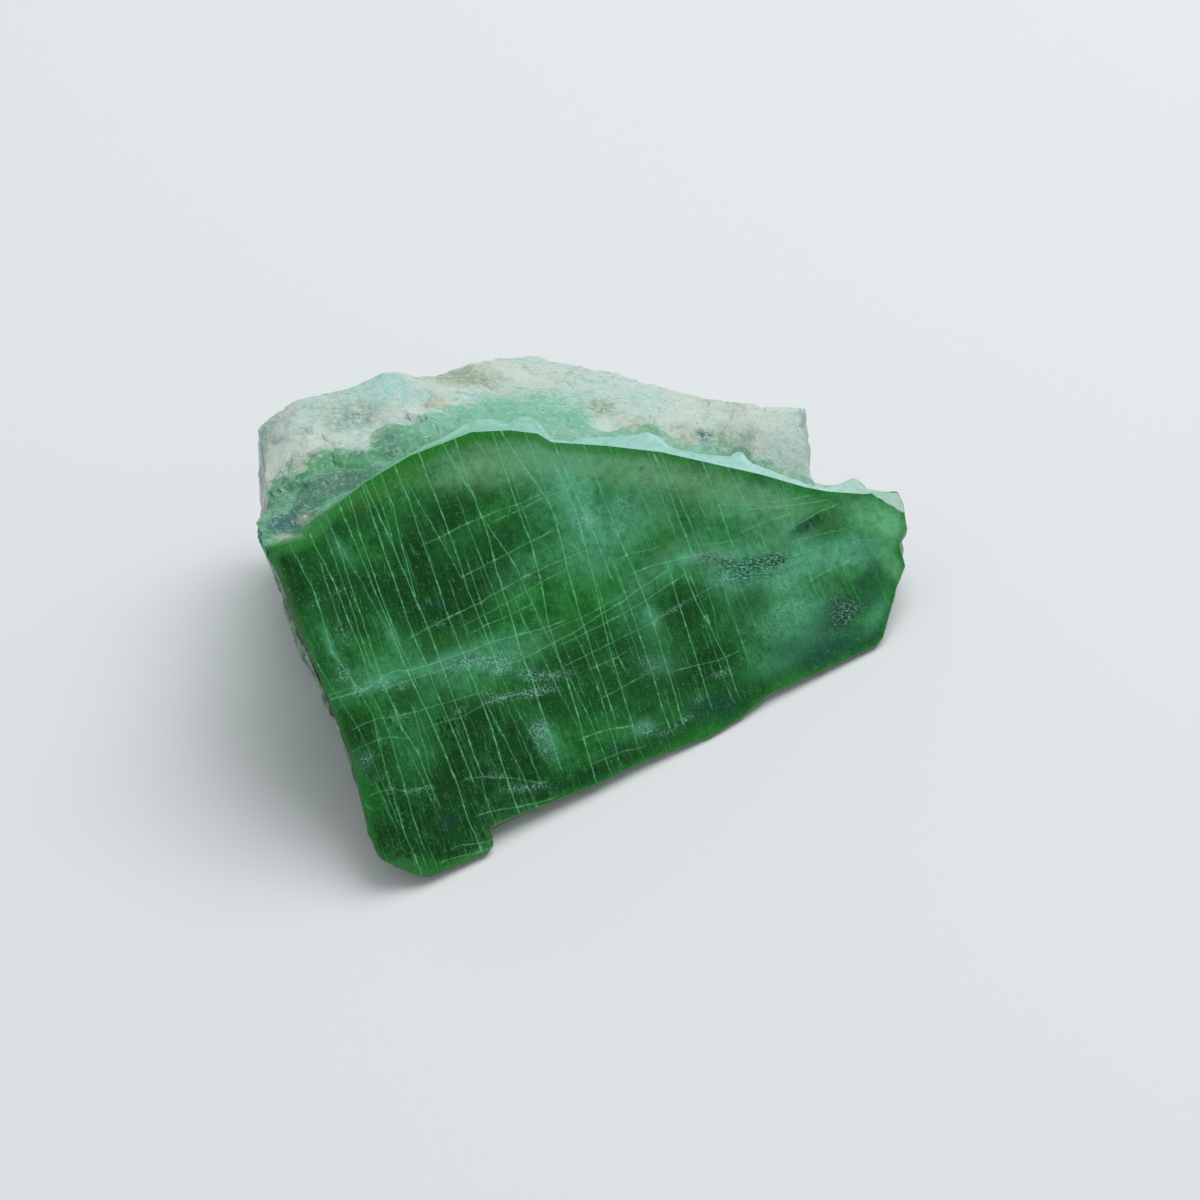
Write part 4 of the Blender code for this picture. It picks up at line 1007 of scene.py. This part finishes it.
# Painted glow of light through the thin stone: brighter green near the crest and along the other
# edges.
rim, side = nodes.amount("rim"), nodes.amount("side")
along, up, _ = nodes.along_up_out()
rim = nodes.math("MULTIPLY", nodes.ramp(rim, 1.1, 0.4), nodes.ramp(along, 11.0, 20.0, 0.75, 0.25))
colour = nodes.blend(rim, colour, CREST_GLOW)
colour = nodes.blend(nodes.ramp(side, 0.5, 0.1, 0.0, 0.4), colour, SIDE_GLOW)
# Painted glow of light through the clear thin tip at the right.
shard_glow = nodes.math("ADD", along, nodes.math("MULTIPLY", up, 0.75))
shard_glow = nodes.math("ADD", shard_glow, nodes.math("MULTIPLY", mottle, 0.6))
shard_glow = nodes.ramp(shard_glow, SHARD_START, SHARD_START + 0.12)
colour = nodes.blend(shard_glow, colour, CLEAR_TIP_GLOW)
grained = nodes.group(crystal_grain, {
    "Vector": mm, "Colour": colour, "Light": tint(84, 168, 108), "Dark": tint(4, 50, 12),
    "Scale": 5.5, "Amount": 0.5, "Crystals": 0.2,
})
colour = grained["Colour"]
hair = nodes.noise(nodes.along_cut((2.4, 0.11, 1.0), lean=7.0), 1.0, 2.0, 0.5, 0.1)
hair = nodes.ramp(nodes.math("ABSOLUTE", nodes.math("SUBTRACT", hair, 0.5)), 0.014, 0.003)
hair = nodes.math("MULTIPLY", hair, nodes.ramp(cloud, 0.35, 0.6, 0.07, 0.32))
colour = nodes.blend(hair, colour, HAIR_GREEN)
wander = nodes.ramp(nodes.noise(mm, 0.45, 2.0), 0.3, 0.7, -0.04, 0.04)
beads = nodes.ramp(nodes.noise(mm, 1.3, 3.0, 0.75), 0.45, 0.72)
for name, count, width, strength, shade in (
    ("cross", CROSS_SETS, 0.088, 0.6, (116, 196, 134)),
    ("upright", VEIN_SETS, 0.09, 0.66, (110, 200, 138)),
):
    wide = nodes.math("MULTIPLY", nodes.ramp(beads, 0.0, 1.0, 0.9, 1.6), width)
    web = None
    for number in range(count):
        vein = nodes.add("ShaderNodeAttribute", attribute_name=f"{name}_{number}").outputs["Vector"]
        mask = nodes.group(vein_line, {"Vein": vein, "Width": wide, "Wander": wander})["Mask"]
        web = mask if web is None else nodes.math("MAXIMUM", web, mask)
    shown = nodes.math("MULTIPLY", web, nodes.ramp(beads, 0.0, 1.0, 0.7, 1.6), clamp=True)
    colour = nodes.blend(nodes.math("MULTIPLY", shown, strength), colour, tint(*shade))
fleck = nodes.ramp(nodes.noise(mm, 5.5, 3.0, 0.85), 0.46, 0.66)
sugar = nodes.math("MULTIPLY", nodes.amount("sugar"), fleck, clamp=True)
colour = nodes.blend(nodes.math("MULTIPLY", sugar, 0.85), colour, SUGAR)
speck = nodes.noise(nodes.along_cut((2.8, 6.5, 5.0), lean=20.0), 1.0, 4.0, 0.8)
spotted = nodes.amount("speckle")
for low, high, shade in ((0.56, 0.44, DARK_SPECK), (0.54, 0.68, PALE_SPECK)):
    spots = nodes.math("MULTIPLY", spotted, nodes.ramp(speck, low, high, 0.0, 1.1), clamp=True)
    colour = nodes.blend(spots, colour, shade)
nodes.feed(shader["Base Color"], colour)
shader["Specular IOR Level"].default_value = 0.17
nodes.feed(shader["Roughness"], nodes.ramp(grained["Grain"], 0.2, 0.8, 0.2, 0.34))
nodes.feed(shader["Normal"], nodes.relief(grained["Grain"], 0.12, 0.05))

# The fresh chips along the crest, paler towards the thin right tip, partly by their own pale
# colour and partly as painted glow of light through the thinning stone and a painted reflection
# of the window; and the thin broken edge round the rest of the face.
CHIP_START, CHIP_RUN = -18.0, 55.0    # where the chips' tones start along the cut, and their run
# Tones along the chips: the pale right end is partly painted glow and painted reflection.
CHIP_TONES_AND_GLOW = [
    (0.0, (34, 116, 44)), (0.12, (36, 118, 52)), (0.22, (66, 144, 92)), (0.33, (118, 184, 156)),
    (0.5, (148, 202, 190)), (0.75, (166, 212, 206)), (0.94, (186, 222, 212)),
    (0.98, (214, 234, 224)),
]
CHIP_STREAK = tint(84, 162, 118)
LEFT_EDGE, LOWER_EDGE = tint(60, 96, 62), tint(48, 122, 44)
nodes, shader = finish("fresh_chip")
mm = nodes.millimetres()
along, _, _ = nodes.along_up_out()
place = nodes.math("DIVIDE", nodes.math("SUBTRACT", along, CHIP_START), CHIP_RUN)
tone_and_glow = nodes.add("ShaderNodeValToRGB", {"Fac": place})
while len(tone_and_glow.color_ramp.elements) < len(CHIP_TONES_AND_GLOW):
    tone_and_glow.color_ramp.elements.new(0.5)
for element, (position, shade) in zip(tone_and_glow.color_ramp.elements, CHIP_TONES_AND_GLOW):
    element.position = position
    element.color = tint(*shade)
streak = nodes.noise(nodes.along_cut((0.6, 2.5, 2.5)), 1.0, 4.0, 0.7)
colour = nodes.blend(nodes.ramp(streak, 0.45, 0.7, 0.0, 0.4), tone_and_glow.outputs[0], CHIP_STREAK)
side = nodes.blend(nodes.ramp(along, -17.0, -14.0), LEFT_EDGE, LOWER_EDGE)
colour = nodes.blend(nodes.ramp(nodes.amount("skin"), 0.6, 0.95), side, colour)
grained = nodes.group(crystal_grain, {
    "Vector": mm, "Colour": colour, "Light": tint(196, 226, 212), "Dark": tint(60, 132, 92),
    "Scale": 5.0, "Amount": 0.25, "Crystals": 0.2,
})
nodes.feed(shader["Base Color"], grained["Colour"])
nodes.feed(shader["Roughness"], nodes.ramp(grained["Grain"], 0.2, 0.8, 0.25, 0.42))
nodes.feed(shader["Normal"], nodes.relief(streak, 0.3, 0.1))

# The rough stone: green-grey broken walls, a pale weathered skin on the rind, and green stone
# that shows below the crest and through worn windows.
SKIN_MINT, SKIN_CREAM = tint(190, 216, 208), tint(204, 213, 197)
SKIN_HOLLOW, SKIN_CHALK = tint(140, 172, 158), tint(214, 230, 222)
WALL_GREEN, WALL_GREY = tint(72, 112, 82), tint(120, 146, 122)
WALL_DARK, WALL_PALE = tint(34, 58, 42), tint(158, 178, 156)
FRESH_DEEP, FRESH_PALE, FRESH_RIGHT = tint(62, 136, 90), tint(112, 180, 148), tint(138, 194, 168)
STONE_TINTS = {
    "light": (210, 222, 210), "mint": (160, 208, 200), "hollow_shade": (126, 160, 146),
    "grass": (74, 152, 98), "leaf": (120, 190, 160), "slate": (66, 116, 100),
    "moss": (136, 160, 118), "lagoon": (30, 100, 98), "buff": (172, 178, 152),
}
nodes, shader = finish("rough_stone")
mm = nodes.millimetres()
broad = nodes.noise(mm, 0.16, 3.0, 0.55, 0.5)
middle = nodes.noise(mm, 0.75, 4.0, 0.65, 0.3)
fine = nodes.noise(mm, 3.2, 4.0, 0.75)
weathered = nodes.blend(nodes.ramp(broad, 0.42, 0.6), SKIN_MINT, SKIN_CREAM)
weathered = nodes.blend(nodes.ramp(middle, 0.5, 0.3, 0.0, 0.8), weathered, SKIN_HOLLOW)
weathered = nodes.blend(nodes.ramp(middle, 0.56, 0.74, 0.0, 0.7), weathered, SKIN_CHALK)

streak = nodes.noise(nodes.along_cut((2.2, 0.35, 1.4)), 1.0, 5.0, 0.65, 0.3)
wall = nodes.blend(nodes.ramp(middle, 0.35, 0.65), WALL_GREEN, WALL_GREY)
wall = nodes.blend(nodes.ramp(streak, 0.5, 0.34, 0.0, 0.9), wall, WALL_DARK)
wall = nodes.blend(nodes.ramp(streak, 0.58, 0.74, 0.0, 0.7), wall, WALL_PALE)
skin = nodes.amount("skin")
tatter = nodes.ramp(nodes.noise(mm, 0.22, 3.0, 0.55), 0.3, 0.7, -0.35, 0.35)
ragged = nodes.math("ADD", skin, tatter)
colour = nodes.blend(nodes.ramp(ragged, 0.2, 0.8), wall, weathered)

tatter = nodes.ramp(nodes.noise(mm, 0.45, 4.0, 0.65), 0.3, 0.7, -0.35, 0.35)
past_green = nodes.math("ADD", nodes.amount("past_green"), tatter)
fresh = nodes.blend(nodes.ramp(middle, 0.35, 0.65), FRESH_DEEP, FRESH_PALE)
along, _, _ = nodes.along_up_out()
fresh = nodes.blend(nodes.ramp(along, -4.0, 8.0, 0.0, 0.8), fresh, FRESH_RIGHT)
window = nodes.ramp(nodes.noise(mm, 0.22, 4.0, 0.65), 0.68, 0.74, 0.0, 0.8)
near_crest = nodes.ramp(past_green, 1.15, 0.85)
near_crest = nodes.math("MULTIPLY", near_crest, nodes.ramp(skin, 0.3, 0.9))
colour = nodes.blend(nodes.math("MAXIMUM", near_crest, window), colour, fresh)
uneven = nodes.ramp(nodes.noise(mm, 1.9, 5.0, 0.78), 0.33, 0.67, 0.15, 1.6)
# One of these tints darkens the rind's hollows and pits as painted shade.
for name, shade in STONE_TINTS.items():
    amount = nodes.math("MULTIPLY", nodes.amount(name), uneven, clamp=True)
    colour = nodes.blend(amount, colour, tint(*shade))
grained = nodes.group(crystal_grain, {
    "Vector": mm, "Colour": colour, "Light": tint(224, 238, 230), "Dark": tint(84, 128, 106),
    "Scale": 4.0, "Amount": 0.5, "Crystals": 0.45,
})
nodes.feed(shader["Base Color"], grained["Colour"])
nodes.feed(shader["Roughness"], nodes.ramp(grained["Grain"], 0.3, 0.7, 0.66, 0.34))
nodes.feed(shader["Normal"], nodes.relief(fine, 0.5, 0.3))

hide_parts("jade_stone")
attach(jade, "root")

# ----------------------------------------------------------------------------------------------
# The studio, in metres: a plain pale floor, a wide soft window light from behind on the right,
# and the camera, which looks down on the sawn face.
# ----------------------------------------------------------------------------------------------
FLOOR_SIZE, FLOOR_COLOUR, FLOOR_ROUGHNESS = 3.0, (0.76, 0.78, 0.785, 1.0), 0.9
ROOM_COLOUR, ROOM_STRENGTH = (0.93, 0.97, 1.0, 1.0), 0.5
WINDOW_PLACE, WINDOW_SIZE, WINDOW_WATTS = (0.2, 0.25, 0.71), 0.7, 4.25
CAMERA_PLACE = (0.00133, -0.2559, 0.2318)
CAMERA_DIP = 41.4                     # how steeply the camera looks down, in degrees
LENS, SENSOR, NEAREST = 125.0, 36.0, 0.01

bpy.ops.mesh.primitive_plane_add(size=FLOOR_SIZE, location=(0.0, 0.0, 0.0))
floor = bpy.context.object
floor.name = "floor"
pale = bpy.data.materials.new("pale_floor")
pale.use_nodes = True
pale_inputs = pale.node_tree.nodes["Principled BSDF"].inputs
pale_inputs["Base Color"].default_value = FLOOR_COLOUR
pale_inputs["Roughness"].default_value = FLOOR_ROUGHNESS
floor.data.materials.append(pale)

world = bpy.data.worlds.new("soft_room")
bpy.context.scene.world = world
world.use_nodes = True
world.node_tree.nodes["Background"].inputs["Color"].default_value = ROOM_COLOUR
world.node_tree.nodes["Background"].inputs["Strength"].default_value = ROOM_STRENGTH
bpy.context.scene.view_settings.view_transform = "Standard"

window_data = bpy.data.lights.new("window", "AREA")
window_data.size, window_data.energy = WINDOW_SIZE, WINDOW_WATTS
window = bpy.data.objects.new("window", window_data)
window.location = WINDOW_PLACE
window.rotation_euler = (-Vector(WINDOW_PLACE)).to_track_quat("-Z", "Y").to_euler()
bpy.context.collection.objects.link(window)

camera_data = bpy.data.cameras.new("camera")
camera_data.lens = LENS
camera_data.sensor_width = SENSOR
camera_data.clip_start = NEAREST
camera = bpy.data.objects.new("camera", camera_data)
camera.location = CAMERA_PLACE
camera.rotation_euler = (np.radians(90.0 - CAMERA_DIP), 0.0, 0.0)
bpy.context.collection.objects.link(camera)
bpy.context.scene.camera = camera
